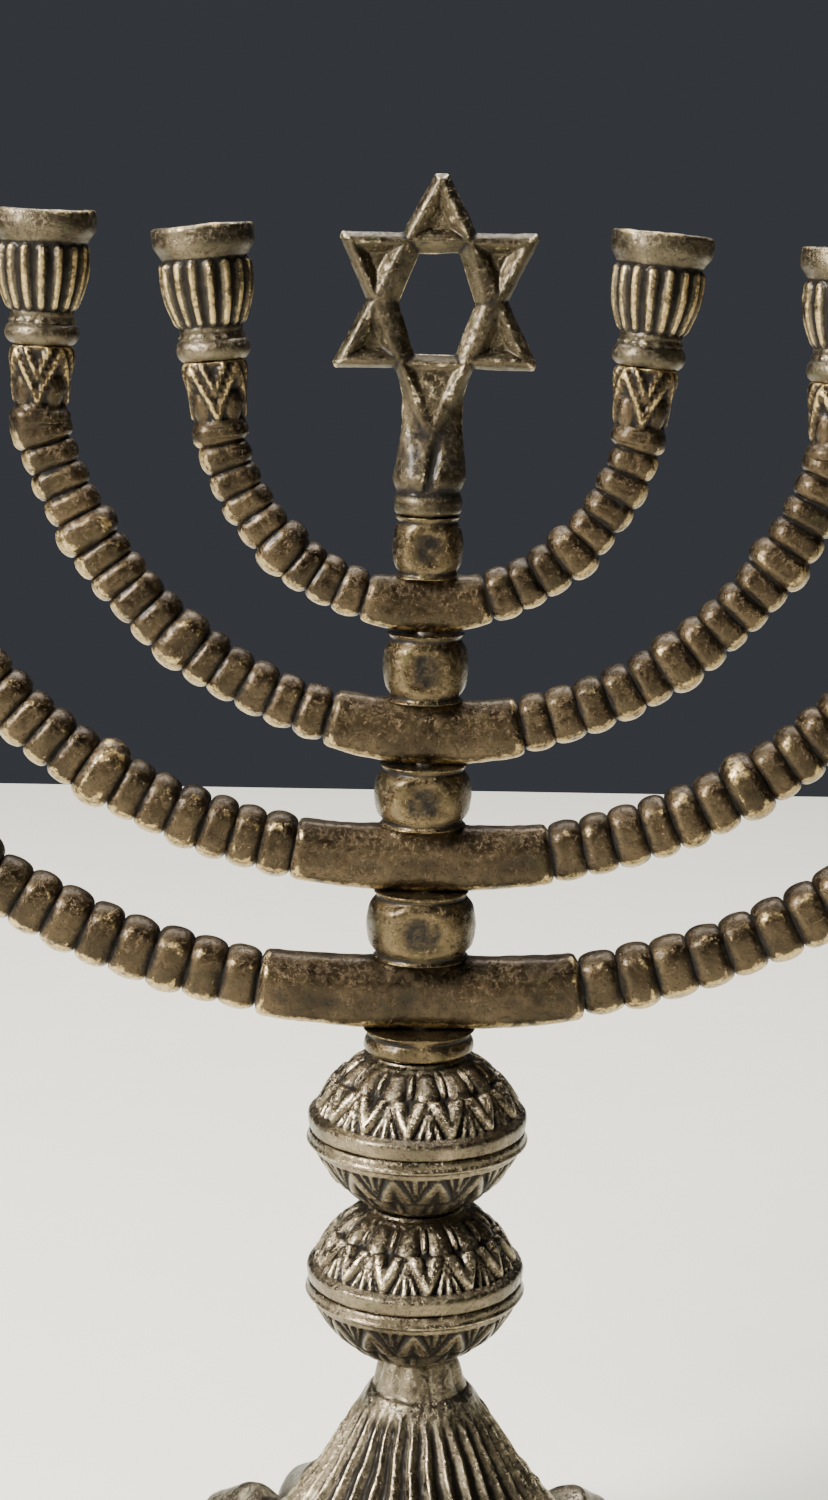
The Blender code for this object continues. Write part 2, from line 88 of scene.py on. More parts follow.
# The arms.
AROUND = 60  # columns of the mesh about an arm
RIB_ROWS = 13
RIB_VALLEY = 0.73
LARGE_RIB = 1.12
LARGE_RIB_WIDTH = 1.22
ARM_DEPTH = 0.93
FACET = 0.83  # depth of the flat in front of a rib, as a share of its radius
FACET_ROOT = 0.64  # the same in the groove beside it
FACET_SLOPE = 0.25  # share of a rib's width that the slope beside its flat takes
# How dark the grooves between ribs are made: soot, and painted shade in the grooves.
GROOVE_SOOT_AND_SHADE = 0.8
SADDLE_STEP = 0.5
SADDLE_TAPER = 0.09  # how much slimmer a saddle becomes towards its ends
SADDLE_ROUNDING = 1.5
SADDLE_FILLET = 0.9  # where a saddle rises to the bead on it
SQUARENESS = 14  # the higher, the sharper the edges where an arm is cut flat
LOWER_EDGE_HIGHLIGHT = 0.95  # how strong the painted highlight along the lower edge of an arm is

# The beads and the collar.
BEAD_COLUMNS = 104
BEAD_WAIST = 0.78  # as a share of the bead's radius, as its flat is
BEAD_FLAT = 0.87
COLLAR_FLAT = 0.93
COLLAR_FIT = 0.45  # how far the collar reaches up to the saddle

# The knobs.
KNOB_CELLS = 14
CELL_COLUMNS = 20
KNOB_R = 18.0
KNOB_BAND = 3.0
KNOB_TOP_R = 9.2
KNOB_SEAM = 0.35  # gap between the two halves
KNOB_RELIEF = 1.15  # depth of the pattern on an upper half
KNOB_LOWER_RELIEF = 0.7
KNOB_TURNS = (0.1, -0.12)  # how far each knob is turned on the rod
KNOB_HALF_TURN = 0.13  # how far a lower half is turned against its upper half

# The base.
BASE_FLUTES = 30
FLUTE_COLUMNS = 11
BASE_NECK_FOOT = 46.0
BASE_SHOULDER_R = 7.9
BASE_FLARE_R = 34.3
BASE_FLARE_Z = 9.0
BASE_RIM_R = 48.5
BASE_SHOULDER = 0.26  # share of the flare that is gained at once, below the neck
BASE_FLARE_POWER = 1.55
BASE_LOBE = 6.0  # how far the foot's lobes reach past the notches between them
BASE_LOBE_TURN = math.radians(115)
BASE_LOBE_RISE = 0.9  # how far a lobe rises, as a share of how far it reaches
BASE_SHIFT = 1.6  # how far the bell sits to the right of the rod
BASE_TRUE_Z = 9.0  # the foot, up to here, isn't shifted
BASE_SHIFTED_Z = 22.0
BASE_SLANT = 0.02  # how much the shift grows for each unit down, as a share of it
BASE_NECK_TOP_R = 6  # the bore stays true, and the shift is whole from here out
BASE_SLANT_Z = 30  # where the shift is BASE_SHIFT
BASE_INNER_STEP = (4.0, 3.0)  # from the bell's outside to its inside
BASE_DECK_Z = 36.95

# The star: one triangle points up and one points down.
STAR_UP_FOOT = 216.2
STAR_UP_HALF = 16.5
STAR_UP_H = 32.1
STAR_DOWN_TOP = 237.2
STAR_DOWN_HALF = 15.9
STAR_DOWN_H = 34.5
STAR_HALF_THICK = 1.9
STAR_MIDDLE = 226.3
STAR_LEAN = 0.024  # how far the finial leans to the right, for each unit of height
STAR_BAR = 1.75  # width of the rim about a pocket
STAR_BAR_INNER = 0.9  # how far a pocket reaches into the other triangle's bar
STAR_NECK_H = 23.8

# The rod and its threads, the washer and the nut.
ROD_COLUMNS = 24
RING_COLUMNS = 96
THREAD_PITCH = 0.7
THREAD_DEPTH = 0.33
THREAD_LOW = 18  # lengths of the threads at the rod's ends
THREAD_HIGH = 14


class ArchShape(NamedTuple):
    """What sets one arch apart from the others. Its angles are in degrees."""

    half: float  # half the length of its saddle
    arm_r: float
    level: float  # how far an arm runs level before it bends
    bend: float  # radius of the bend
    lean: float  # how far a neck leans outwards
    tilt: float  # how far the arch hangs down on the right
    ribs: int  # ribs to an arm
    large: tuple  # which of them are large, counted from the saddle
    ring: tuple  # height and radius of the ring below a neck
    shrink: float  # how much narrower the ribs become towards the neck


ARCHES = (
    ArchShape(10.0, 4.15, 0.5, 33.0, 5.4, 0.0, 8, (4,), (3.5, 4.4), 0.0),
    ArchShape(15.7, 4.65, 0.0, 65.6, 0.0, 1.8, 14, (6, 11), (6.0, 4.85), 0.1),
    ArchShape(21.0, 5.2, 6.5, 88.0, 2.0, 0.4, 21, (7, 14), (6.0, 5.0), 0.14),
    ArchShape(26.6, 5.45, 8.5, 114.0, 2.0, 0.0, 24, (9, 17), (6.0, 5.1), 0.14),
)


class Arch:
    """One arch. Its height and its saddle's thickness are the space that its beads leave."""

    def __init__(self, above, below, shape):
        top = span(above)[0] - FIT
        bottom = span(below)[1] + FIT
        self.z = (top + bottom) / 2
        self.thick = top - bottom
        self.half = shape.half
        self.arm_r = shape.arm_r
        self.level = shape.level
        self.bend = shape.bend
        self.lean = math.radians(shape.lean)
        self.tilt = math.radians(shape.tilt)
        self.ribs = shape.ribs
        self.large = shape.large
        self.ring_h, self.ring_r = shape.ring
        self.shrink = shape.shrink
        self.length = shape.level + shape.bend * math.acos(
            1 - (NECK_FOOT_Z - self.z) / shape.bend
        )

    def hang(self, x, z):
        """A point from the middle of the saddle, turned by the arch's tilt."""
        c, s = math.cos(self.tilt), math.sin(self.tilt)
        return np.array((x * c + z * s, self.z - x * s + z * c))

    def neck(self, side):
        """Foot and direction of the neck on one side, -1 left and 1 right."""
        turn = (self.length - self.level) / self.bend
        x = self.level + self.bend * math.sin(turn)
        lean = side * self.lean + self.tilt
        foot = self.hang(side * x, self.bend * (1 - math.cos(turn)))
        return foot, np.array((math.sin(lean), math.cos(lean)))

    def station(self, s):
        """Place on the centreline and the direction of travel, s < 0 to the left."""
        side = 1 if s >= 0 else -1
        if abs(s) > self.length:
            foot, up = self.neck(side)
            return foot + up * (abs(s) - self.length), up * side
        turn = max(0.0, (abs(s) - self.level) / self.bend)
        x = min(abs(s), self.level) + self.bend * math.sin(turn)
        angle = side * turn - self.tilt
        way = np.array((math.cos(angle), math.sin(angle)))
        return self.hang(side * x, self.bend * (1 - math.cos(turn))), way


def span(node):
    """Lowest and highest point of a CAD node."""
    low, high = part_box(node)
    return low.z / MM, high.z / MM


def smoothstep(low, high, x):
    t = np.clip((x - low) / (high - low), 0, 1)
    return t * t * (3 - 2 * t)


def soft_min(a, b, blend):
    share = np.clip(0.5 + 0.5 * (b - a) / blend, 0, 1)
    return b * (1 - share) + a * share - blend * share * (1 - share)


def soft_max(a, b, blend):
    return -soft_min(-a, -b, blend)


def dome(x, power=0.6):
    """1 at x = 0, falling over a round shoulder to 0 at x = 1."""
    return np.clip(1 - x * x, 0, 1) ** power


def to_line(u, v, start, end):
    """Distance from (u, v) to the segment between two points."""
    du, dv = end[0] - start[0], end[1] - start[1]
    along = np.clip(((u - start[0]) * du + (v - start[1]) * dv) / (du * du + dv * dv), 0, 1)
    return np.hypot(u - start[0] - along * du, v - start[1] - along * dv)


class Lumps:
    """Smooth noise between -1 and 1, from random values on a lattice."""

    SIDE = 24

    def __init__(self, seed):
        self.values = np.random.default_rng(seed).uniform(-1, 1, (self.SIDE,) * 3)

    def at(self, points, size):
        cell = points / size
        low = np.floor(cell).astype(int)
        part = cell - low
        part = part * part * (3 - 2 * part)
        total = np.zeros(len(points))
        for corner in itertools.product((0, 1), repeat=3):
            weight = np.prod(np.where(corner, part, 1 - part), axis=1)
            i, j, k = ((low + corner) % self.SIDE).T
            total += weight * self.values[i, j, k]
        return total


LUMPS = Lumps(7)


# Each size of lump in the brass: its weight, its offset in the noise and its size.
SKIN_LUMPS = ((1.0, 0, 7.3), (0.7, 31, 2.9), (0.45, 67, 1.25))


def cast_skin(points):
    """The unevenness of a rough casting, of three sizes."""
    return sum(weight * LUMPS.at(points + start, size) for weight, start, size in SKIN_LUMPS)


# Meshes.


def grid_faces(rows, cols, loop):
    """Faces of a grid whose columns go round. It closes end to end, or a fan caps each end."""
    grid = np.arange(rows * cols).reshape(rows, cols)
    side = np.roll(grid, -1, axis=1)
    if loop:
        up = np.roll(grid, -1, axis=0)
        up_side = np.roll(side, -1, axis=0)
        quads = np.stack([grid, side, up_side, up], axis=-1).reshape(-1, 4)
        return quads.tolist()
    quads = np.stack([grid[:-1], side[:-1], side[1:], grid[1:]], axis=-1).reshape(-1, 4)
    start, end = rows * cols, rows * cols + 1
    fans = [(int(b), int(a), start) for a, b in zip(grid[0], side[0])]
    fans += [(int(a), int(b), end) for a, b in zip(grid[-1], side[-1])]
    return quads.tolist() + fans


def with_poles(points):
    """The points of a grid in one list, with the middles of its first and last rows added."""
    poles = [points[0].mean(axis=0), points[-1].mean(axis=0)]
    return np.vstack([points.reshape(-1, 3), poles])


def vertex_normals(mesh):
    normals = np.empty(len(mesh.vertices) * 3, np.float32)
    mesh.vertex_normals.foreach_get("vector", normals)
    return normals.reshape(-1, 3).astype(float)


def height_over_surroundings(points, normals, edges, rounds):
    """How far each vertex stands out of its own surroundings, which grow with the rounds."""
    a, b = edges.T
    size = len(points)
    count = np.maximum(np.bincount(edges.ravel(), minlength=size), 1)
    smooth = points.copy()
    for _ in range(rounds):
        for axis in range(3):
            line = smooth[:, axis]
            total = np.bincount(a, line[b], size) + np.bincount(b, line[a], size)
            smooth[:, axis] = (line + total / count) / 2
    return ((points - smooth) * normals).sum(axis=1)


FINE_ROUNDS, BROAD_ROUNDS = 4, 24
RELIEF_RANGE = (50, 97)  # the percentiles of the relief that count as none and as full


def mark_relief(mesh, points, pattern):
    """Stores where hands rub the brass bright, proud, and where soot and painted shade darken
    the hollows, sunk. A pattern adds to the first where it is positive and to the second where
    it is negative; some patterns add painted highlights and painted shade."""
    edges = np.empty(len(mesh.edges) * 2, np.int32)
    mesh.edges.foreach_get("vertices", edges)
    edges = edges.reshape(-1, 2)
    normals = vertex_normals(mesh)
    fine = height_over_surroundings(points, normals, edges, FINE_ROUNDS)
    broad = height_over_surroundings(points, normals, edges, BROAD_ROUNDS)
    proud = fine + 0.35 * broad
    sunk = -fine - 0.6 * broad
    for name, height, drawn in (("proud", proud, pattern), ("sunk", sunk, -pattern)):
        middle, top = np.percentile(height, RELIEF_RANGE)
        values = np.clip((height - middle) / max(top - middle, TINY) + drawn, 0, 1)
        mesh.attributes.new(name, "FLOAT", "POINT").data.foreach_set("value", values)


def make_piece(name, points, faces, material, node, cast=0.1, pattern=None):
    """A mesh in millimetres as the piece that stands for a CAD node."""
    mesh = bpy.data.meshes.new(name)
    mesh.from_pydata(points.tolist(), [], faces)
    mesh.calc_loop_triangles()
    corners = np.empty(len(mesh.loop_triangles) * 3, np.int32)
    mesh.loop_triangles.foreach_get("vertices", corners)
    if np.linalg.det(points[corners.reshape(-1, 3)]).sum() < 0:
        mesh.flip_normals()
    points = points + vertex_normals(mesh) * (cast * cast_skin(points))[:, None]
    mesh.vertices.foreach_set("co", points.ravel())
    mesh.update()
    drawn = np.zeros(len(points))
    if pattern is not None:
        drawn[: pattern.size] = pattern.ravel()
    mark_relief(mesh, points, drawn)
    mesh.vertices.foreach_set("co", (points * MM).ravel())
    mesh.update()
    mesh.shade_smooth()
    obj = bpy.data.objects.new(name, mesh)
    bpy.context.scene.collection.objects.link(obj)
    mesh.materials.append(material)
    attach(obj, BODY)
    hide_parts(node)
    return obj


def soften(corners, step):
    """An even line along (x, y, rounding) corners, each rounded over that much of its sides."""
    line = [np.array(corners[0][:2], float)]
    for before, corner, after in zip(corners, corners[1:], corners[2:]):
        here = np.array(corner[:2], float)
        back = np.array(before[:2]) - here
        ahead = np.array(after[:2]) - here
        sides = np.hypot(*back), np.hypot(*ahead)
        reach = min(corner[2], *(side / 2 for side in sides))
        start = here + back / sides[0] * reach
        end = here + ahead / sides[1] * reach
        for t in np.linspace(0, 1, 7):
            line.append((1 - t) ** 2 * start + 2 * t * (1 - t) * here + t * t * end)
    line.append(np.array(corners[-1][:2], float))
    line = np.array(line)
    along = np.concatenate([[0], np.cumsum(np.hypot(*np.diff(line, axis=0).T))])
    even = np.linspace(0, along[-1], max(3, round(along[-1] / step) + 1))
    return np.column_stack([np.interp(even, along, line[:, i]) for i in (0, 1)])


def turned_grid(profile, cols):
    """Radius, height and angle of a turned surface: profile points down, columns across."""
    angle = np.linspace(0, 2 * math.pi, cols, endpoint=False)
    radius, height = profile.T
    return np.broadcast_arrays(radius[:, None], height[:, None], angle[None, :])


def turned_points(radius, height, angle):
    return np.stack([radius * np.cos(angle), radius * np.sin(angle), height], axis=-1)


def facet(points, reach, blend=0.25):
    """Cuts flats on the front and the back of a grid, reach from its middle plane."""
    y = points[..., 1]
    flat = np.broadcast_to(reach, y.shape)
    points[..., 1] = np.sign(y) * soft_min(np.abs(y), flat, blend)
    return points


# Materials.


class Tree:
    """A material's nodes, made in one line each."""

    def __init__(self, name):
        self.material = bpy.data.materials.new(name)
        self.material.use_nodes = True
        self.nodes = self.material.node_tree.nodes
        self.links = self.material.node_tree.links
        self.shader = self.nodes["Principled BSDF"]
        self.place = self.node("ShaderNodeTexCoord").outputs["Object"]

    def feed(self, socket, value):
        if isinstance(value, bpy.types.NodeSocket):
            self.links.new(value, socket)
        else:
            socket.default_value = value

    def node(self, kind, inputs=None, **settings):
        made = self.nodes.new(kind)
        for key, value in settings.items():
            setattr(made, key, value)
        for key, value in (inputs or {}).items():
            self.feed(made.inputs[key], value)
        return made

    def attribute(self, name):
        return self.node("ShaderNodeAttribute", attribute_name=name).outputs["Fac"]

    def noise(self, size, detail=4.0, roughness=0.55, distortion=0.0):
        """Noise whose largest features are about this many millimetres."""
        inputs = {
            "Vector": self.place,
            "Scale": 1 / (size * MM),
            "Detail": detail,
            "Roughness": roughness,
            "Distortion": distortion,
        }
        return self.node("ShaderNodeTexNoise", inputs).outputs["Fac"]

    def math(self, operation, a, b):
        return self.node("ShaderNodeMath", {0: a, 1: b}, operation=operation).outputs[0]

    def remap(self, value, low, high, to_low=0.0, to_high=1.0):
        inputs = {0: value, 1: low, 2: high, 3: to_low, 4: to_high}
        made = self.node("ShaderNodeMapRange", inputs, interpolation_type="SMOOTHSTEP")
        return made.outputs[0]

    def mix(self, share, a, b):
        made = self.node("ShaderNodeMix", data_type="RGBA")
        for index, value in ((0, share), (6, a), (7, b)):
            self.feed(made.inputs[index], value)
        return made.outputs[2]

    def bump(self, height, distance, strength, below=None):
        inputs = {"Height": height, "Distance": distance * MM, "Strength": strength}
        if below:
            inputs["Normal"] = below
        return self.node("ShaderNodeBump", inputs).outputs["Normal"]


def shade(colour, factor):
    return tuple(min(1.0, part * factor) for part in colour[:3]) + (1.0,)


class Brass(NamedTuple):
    """How one kind of piece has aged."""

    brown: tuple  # the patina
    rubbed_and_highlit: tuple  # what stands proud, and the painted highlights
    polish: float  # how much of it turns gold, as rubbed brass and as painted highlight
    smooth: float = 0.26  # roughness of its smoothest patches


GOLD = (0.6, 0.44, 0.2)
PALE = (0.64, 0.52, 0.33)
# Near black, for soot and painted shade in the hollows.
SOOT_AND_PAINTED_SHADE = (0.014, 0.011, 0.008)
BRASS = {
    "arch": Brass((0.066, 0.046, 0.025), GOLD, 0.37),
    "stem": Brass((0.11, 0.079, 0.04), GOLD, 0.42, 0.18),
    "cup": Brass((0.11, 0.087, 0.055), GOLD, 0.36),
    "star": Brass((0.075, 0.058, 0.034), PALE, 0.34),
    "knob": Brass((0.16, 0.126, 0.08), PALE, 0.55, 0.16),
    "base": Brass((0.17, 0.138, 0.092), PALE, 0.52, 0.2),
}


def aged_brass(name, brass):
    """Brown patina that is rubbed golden on what stands proud and black in the hollows. The gold
    also carries painted highlights, and the black is soot and painted shade.
    """
    tree = Tree(name)
    brown, smooth = brass.brown, brass.smooth
    broad = tree.noise(9, 4)
    patches = tree.noise(2.2, 6, 0.66, 0.6)
    grain = tree.noise(0.5, 4, 0.65)
    streak = tree.math("SUBTRACT", patches, 0.5)
    speck = tree.math("SUBTRACT", grain, 0.5)
    rub = tree.math("ADD", tree.math("MULTIPLY", streak, 1.5), tree.math("MULTIPLY", speck, 1.2))
    proud = tree.math("ADD", tree.attribute("proud"), rub)
    sunk = tree.math("ADD", tree.attribute("sunk"), tree.math("MULTIPLY", rub, 0.5))
    # The gold marks both rubbed brass and painted highlights.
    worn_and_highlit = tree.remap(proud, 1.0 - brass.polish, 1.6 - brass.polish)
    # Soot in the hollows, and painted shade that darkens the recesses.
    soot_and_painted_shade = tree.remap(sunk, 0.15, 0.8)
    tone = tree.mix(tree.remap(broad, 0.35, 0.65), shade(brown, 0.6), shade(brown, 1.35))
    olive = (brown[0] * 0.85, brown[1] * 1.05, brown[2] * 0.85, 1)
    tone = tree.mix(tree.remap(patches, 0.5, 0.72, 0, 0.7), tone, olive)
    tone = tree.mix(tree.remap(grain, 0.55, 0.7, 0, 0.7), tone, shade(brown, 0.35))
    colour = tree.mix(worn_and_highlit, tone, shade(brass.rubbed_and_highlit, 1))
    colour = tree.mix(soot_and_painted_shade, colour, shade(SOOT_AND_PAINTED_SHADE, 1))
    rough = tree.remap(patches, 0.3, 0.7, smooth, smooth + 0.24)
    rough = tree.math("SUBTRACT", rough, tree.math("MULTIPLY", worn_and_highlit, 0.06))
    rough = tree.math("ADD", rough, tree.math("MULTIPLY", soot_and_painted_shade, 0.3))
    tree.feed(tree.shader.inputs["Base Color"], colour)
    tree.feed(tree.shader.inputs["Roughness"], rough)
    tree.feed(tree.shader.inputs["Metallic"], tree.remap(soot_and_painted_shade, 0, 1, 0.95, 0.8))
    tree.shader.inputs["Coat Weight"].default_value = 0.12
    tree.shader.inputs["Coat Roughness"].default_value = 0.2
    pits = tree.remap(tree.noise(0.9, 5, 0.7, 0.4), 0.28, 0.5)
    normal = tree.bump(pits, 0.12, 0.8)
    normal = tree.bump(patches, 0.3, 0.6, normal)
    normal = tree.bump(grain, 0.05, 0.6, normal)
    tree.feed(tree.shader.inputs["Normal"], normal)
    return tree.material


def plated_steel(name):
    """Zinc-plated steel, dulled and a little stained."""
    tree = Tree(name)
    stain = tree.noise(3.5, 5, 0.6)
    fine = tree.noise(0.4, 3)
    clean, stained = (0.46, 0.45, 0.43, 1), (0.25, 0.2, 0.15, 1)
    colour = tree.mix(tree.remap(stain, 0.45, 0.7), clean, stained)
    tree.feed(tree.shader.inputs["Base Color"], colour)
    tree.feed(tree.shader.inputs["Roughness"], tree.remap(fine, 0.3, 0.7, 0.3, 0.5))
    tree.shader.inputs["Metallic"].default_value = 1.0
    tree.feed(tree.shader.inputs["Normal"], tree.bump(fine, 0.02, 0.4))
    return tree.material


def table_paint(name):
    """A pale matt table top with a faint mottle."""
    tree = Tree(name)
    mottle = tree.noise(30, 5)
    colour = tree.mix(mottle, (0.85, 0.83, 0.69, 1), (0.93, 0.91, 0.77, 1))
    tree.feed(tree.shader.inputs["Base Color"], colour)
    tree.shader.inputs["Roughness"].default_value = 0.6
    tree.feed(tree.shader.inputs["Normal"], tree.bump(tree.noise(1.5, 4), 0.05, 0.2))
    return tree.material


# The menorah's pieces.


def rib_edges(arch, dice):
    """Distances from the saddle of the grooves along one arm, a little uneven and closer
    together towards its end."""
    widths = []
    for number in range(1, arch.ribs + 1):
        width = dice.uniform(0.94, 1.06) * (1 + arch.shrink * (1 - 2 * number / arch.ribs))
        widths.append(width * (LARGE_RIB_WIDTH if number in arch.large else 1.0))
    run = np.cumsum([0] + widths)
    end = arch.length + NECK_RING_TOP - arch.ring_h
    return arch.half + run / run[-1] * (end - arch.half)


def front_flat(edge, crest, r):
    """Where the front of an arm is cut flat, as a share of its radius: the flat sinks over a
    slope into the groove beside it. The edge is how near that groove is, 0 to 1."""
    rise = smoothstep(0, 1, edge / FACET_SLOPE) * 0.5 + 0.5 * min(1, edge / FACET_SLOPE)
    return crest * (FACET_ROOT + (FACET - FACET_ROOT) * rise) / r


def arm_rows(arch, dice):
    """Rows of one side of an arch, from the middle of the saddle to the top of its neck, as
    (distance, radius, front flat, how square it is, soot and painted shade)."""
    rows = []
    half_thick = arch.thick / 2
    valley = arch.arm_r * RIB_VALLEY
    steps = round(arch.half / SADDLE_STEP)
    for s in np.linspace(0, arch.half, steps + 1)[:-1]:
        body = half_thick * (1 - SADDLE_TAPER * (s / arch.half) ** 2)
        end = max(0.0, (s - arch.half + SADDLE_ROUNDING) / SADDLE_ROUNDING)
        r = valley + (body - valley) * (1 - end**2.2) ** (1 / 2.2)
        flat = front_flat((arch.half - s) / 5, body * 1.07, r)
        rows.append((s, r, flat, 1, 0))
    grooves = rib_edges(arch, dice)
    for number, (start, stop) in enumerate(zip(grooves, grooves[1:]), 1):
        size = (LARGE_RIB if number in arch.large else 1.0) * dice.uniform(0.97, 1.03)
        crest = arch.arm_r * size
        for u in range(RIB_ROWS):
            q = (1 - math.cos(math.pi * u / RIB_ROWS)) / 2
            swell = (1 - abs(2 * q - 1) ** 2.05) ** (1 / 2.05)
            r = valley + (crest - valley) * swell
            flat = front_flat(min(q, 1 - q), crest, r)
            # The last value darkens the grooves between ribs: soot and painted shade.
            rows.append((start + q * (stop - start), r, flat, 0, GROOVE_SOOT_AND_SHADE * (1 - swell)))
    low = NECK_RING_TOP - arch.ring_h
    ring = arch.ring_r
    corners = (
        (low, ring * 0.8, 0),
        (low + 0.3, ring * 0.92, 0.3),
        (low + 1.0, ring, 0.8),
        (1.5, ring, 0.8),
        (2.3, NECK_FOOT_R, 0.4),
        (2.9, NECK_FOOT_R, 0.3),
        (6.5, 4.35, 2.0),
        (10.6, NECK_TOP_R, 1.0),
        (11.7, NECK_TOP_R * 0.97, 0.3),
        (NECK_H, NECK_TOP_R * 0.9, 0),
    )
    for h, r in soften(corners, 0.3):
        rows.append((arch.length + h, r, 0.9 if h < 2 else 1.2, 0, 0))
    return rows


def neck_leaves(h, angle, radius):
    """Height of the leaves on a neck: each is a V that points down, with a smaller one in it."""
    tall = NECK_H - NECK_RING_TOP
    v = np.clip(h - NECK_RING_TOP, 0, tall)
    cell = 2 * math.pi / NECK_LEAVES
    a = np.abs((angle / cell + 0.5) % 1 - 0.5) * cell * radius
    wide = cell * radius / 2
    outer = to_line(a, v, (0.0, 0.9), (wide, 8.6))
    inner = to_line(a, v, (0.0, 4.4), (wide * 0.5, 9.0))
    lobe = np.hypot((a - wide) / 1.9, (v - 2.2) / 2.6)
    raised = np.maximum.reduce([dome(outer / 0.85), 0.85 * dome(inner / 0.7), dome(lobe)])
    return (0.85 * raised - 0.5) * smoothstep(0, 0.5, v) * smoothstep(tall, tall - 0.5, v)


def make_arch(number, arch, material):
    """Sweeps one arch from its left neck's top, through the saddle, to its right neck's."""
    dice = np.random.default_rng(40 + number)
    left = arm_rows(arch, dice)
    right = arm_rows(arch, dice)
    rows = [(-row[0], *row[1:]) for row in left[:0:-1]] + right
    s, r, flat, square, soot_and_painted_shade = np.array(rows).T[:, :, None]
    angle = np.linspace(0, 2 * math.pi, AROUND, endpoint=False)[None, :]
    up_part, out_part = np.abs(np.cos(angle)), np.abs(np.sin(angle))
    bevel_above, bevel_below = 1.42, 1.58  # the larger, the smaller a saddle's bevel
    bevelled = (up_part + out_part) / np.where(np.cos(angle) > 0, bevel_above, bevel_below)
    sides = (
        (1 - 0.12 * square) ** SQUARENESS
        + (out_part / flat) ** SQUARENESS
        + (square * up_part) ** SQUARENESS
        + (square * bevelled) ** SQUARENESS
    )
    reach = sides ** (-1 / SQUARENESS)
    height = np.abs(s) - arch.length
    leaves = np.where(height > 0, neck_leaves(height, angle, r), 0)
    deep = np.where(height > 0, 1.0, ARM_DEPTH)
    across = (r * reach + leaves) * np.cos(angle)
    out = (r * deep * reach + leaves) * np.sin(angle)
    places = [arch.station(value) for value in s[:, 0]]
    centre = np.array([place for place, _ in places])[:, None]
    way = np.array([direction for _, direction in places])[:, None]
    x = centre[..., 0] - way[..., 1] * across
    z = centre[..., 1] + way[..., 0] * across
    seat = np.hypot(x, out) - arch.arm_r * 1.02
    fillet = SADDLE_FILLET * np.exp(-np.clip(seat, 0, None) / SADDLE_FILLET)
    fillet = fillet * (np.abs(s) < arch.half - 1)
    z = z + fillet * smoothstep(0.55, 0.8, np.cos(angle))
    points = np.stack([x, out, z], axis=-1)
    faces = grid_faces(len(points), AROUND, False)
    name = f"arch_{number}"
    # A painted highlight, in the rubbed gold, along the lower edge of each arm; soot and painted
    # shade in the grooves between ribs.
    lower_edge_highlight = LOWER_EDGE_HIGHLIGHT * smoothstep(-0.6, -0.75, np.cos(angle)) * (height < 0)
    pattern = lower_edge_highlight - soot_and_painted_shade + np.where(height > 0, 1.2 * leaves, 0)
    piece = f"{name}_cast"
    make_piece(piece, with_poles(points), faces, material, name, 0.15, pattern)


CUP_PROFILE = (
    (0, -5.2, 0),
    (1.6, -5.2, 0.3),
    (1.6, 0.1, 0.1),
    (4.9, 0.1, 0.2),
    (5.6, 0.8, 0.5),
    (5.9, 1.9, 0.7),
    (5.5, 3.0, 0.5),
    (4.95, 3.4, 0.2),
    (5.2, 3.75, 0.2),
    (4.85, 4.2, 0.3),
    (4.95, 4.8, 0.3),
    (5.5, 6.0, 1.0),
    (6.5, 8.6, 2.0),
    (7.15, 11.8, 2.5),
    (7.1, 15.2, 1.5),
    (6.95, 16.3, 0.4),
    (7.85, 17.6, 0.7),
    (8.05, 18.4, 0.6),
    (8.05, 20.5, 0.4),
    (7.6, 20.85, 0.25),
    (6.1, 20.7, 0.5),
    (5.45, 20.2, 0.5),
    (5.3, 19.0, 0.5),
)
CUP_BORE = ((5.3, 18.6, 0), (5.3, 8.4, 0.6), (4.4, 8.1, 0.4), (0, 7.9, 0))


def make_cup(number, arch, side, material):
    """A fluted candle cup with its collar and stud, set on the neck of an arm."""
    dice = np.random.default_rng(100 + number)
    outer = soften(CUP_PROFILE, 0.3)
    profile = np.vstack([outer, soften(CUP_BORE, 1.1)])
    radius, height, angle = turned_grid(profile, CUP_FLUTES * CUP_FACETS)
    pitch = 2 * math.pi * radius / CUP_FLUTES
    flute = angle * CUP_FLUTES / (2 * math.pi) + 0.5
    wide = 0.32 * pitch + 0.01
    low, high = FLUTES
    nearest = np.clip(height, low + wide, high - wide)
    away = np.hypot((flute % 1 - 0.5) * pitch, height - nearest) / wide
    strength = dice.uniform(0.75, 1.15, CUP_FLUTES)[flute.astype(int) % CUP_FLUTES]
    outside = radius > CUP_OUTSIDE_R
    channel = smoothstep(low - 0.6, low + 0.3, height) * smoothstep(high + 0.7, high, height)
    relief = 0.72 * strength * dome(away, 0.7) - 0.5 * channel
    relief = relief * outside * (np.arange(len(profile)) < len(outer))[:, None]
    foot_beads = 0.16 * np.cos(angle * CUP_FLUTES) * dome((height - 3.75) / 0.4)
    radius = radius + relief + foot_beads * outside
    points = turned_points(radius, height, angle + dice.uniform(0, 0.4))
    warp = smoothstep(*CUP_RIM, height) * CUP_WARP
    bent = np.cos(2 * angle + dice.uniform(0, 6)) + 0.6 * np.cos(3 * angle + dice.uniform(0, 6))
    points[..., 2] += warp * bent
    points = with_poles(points)
    foot, up = arch.neck(side)
    foot = foot + up * NECK_H
    x, y, z = points.T
    placed = np.column_stack(
        [foot[0] + x * up[1] + z * up[0], y, foot[1] - x * up[0] + z * up[1]]
    )
    faces = grid_faces(len(profile), CUP_FLUTES * CUP_FACETS, False)
    name = f"candle_cup_{number}"
    drawn = (0.4 * dome(away, 0.7) - 0.5 * channel * (away > 0.8)) * outside
    pattern = drawn * (np.arange(len(profile)) < len(outer))[:, None]
    piece = f"cup_{number}_cast"
    make_piece(piece, placed, faces, material, name, 0.12, pattern)


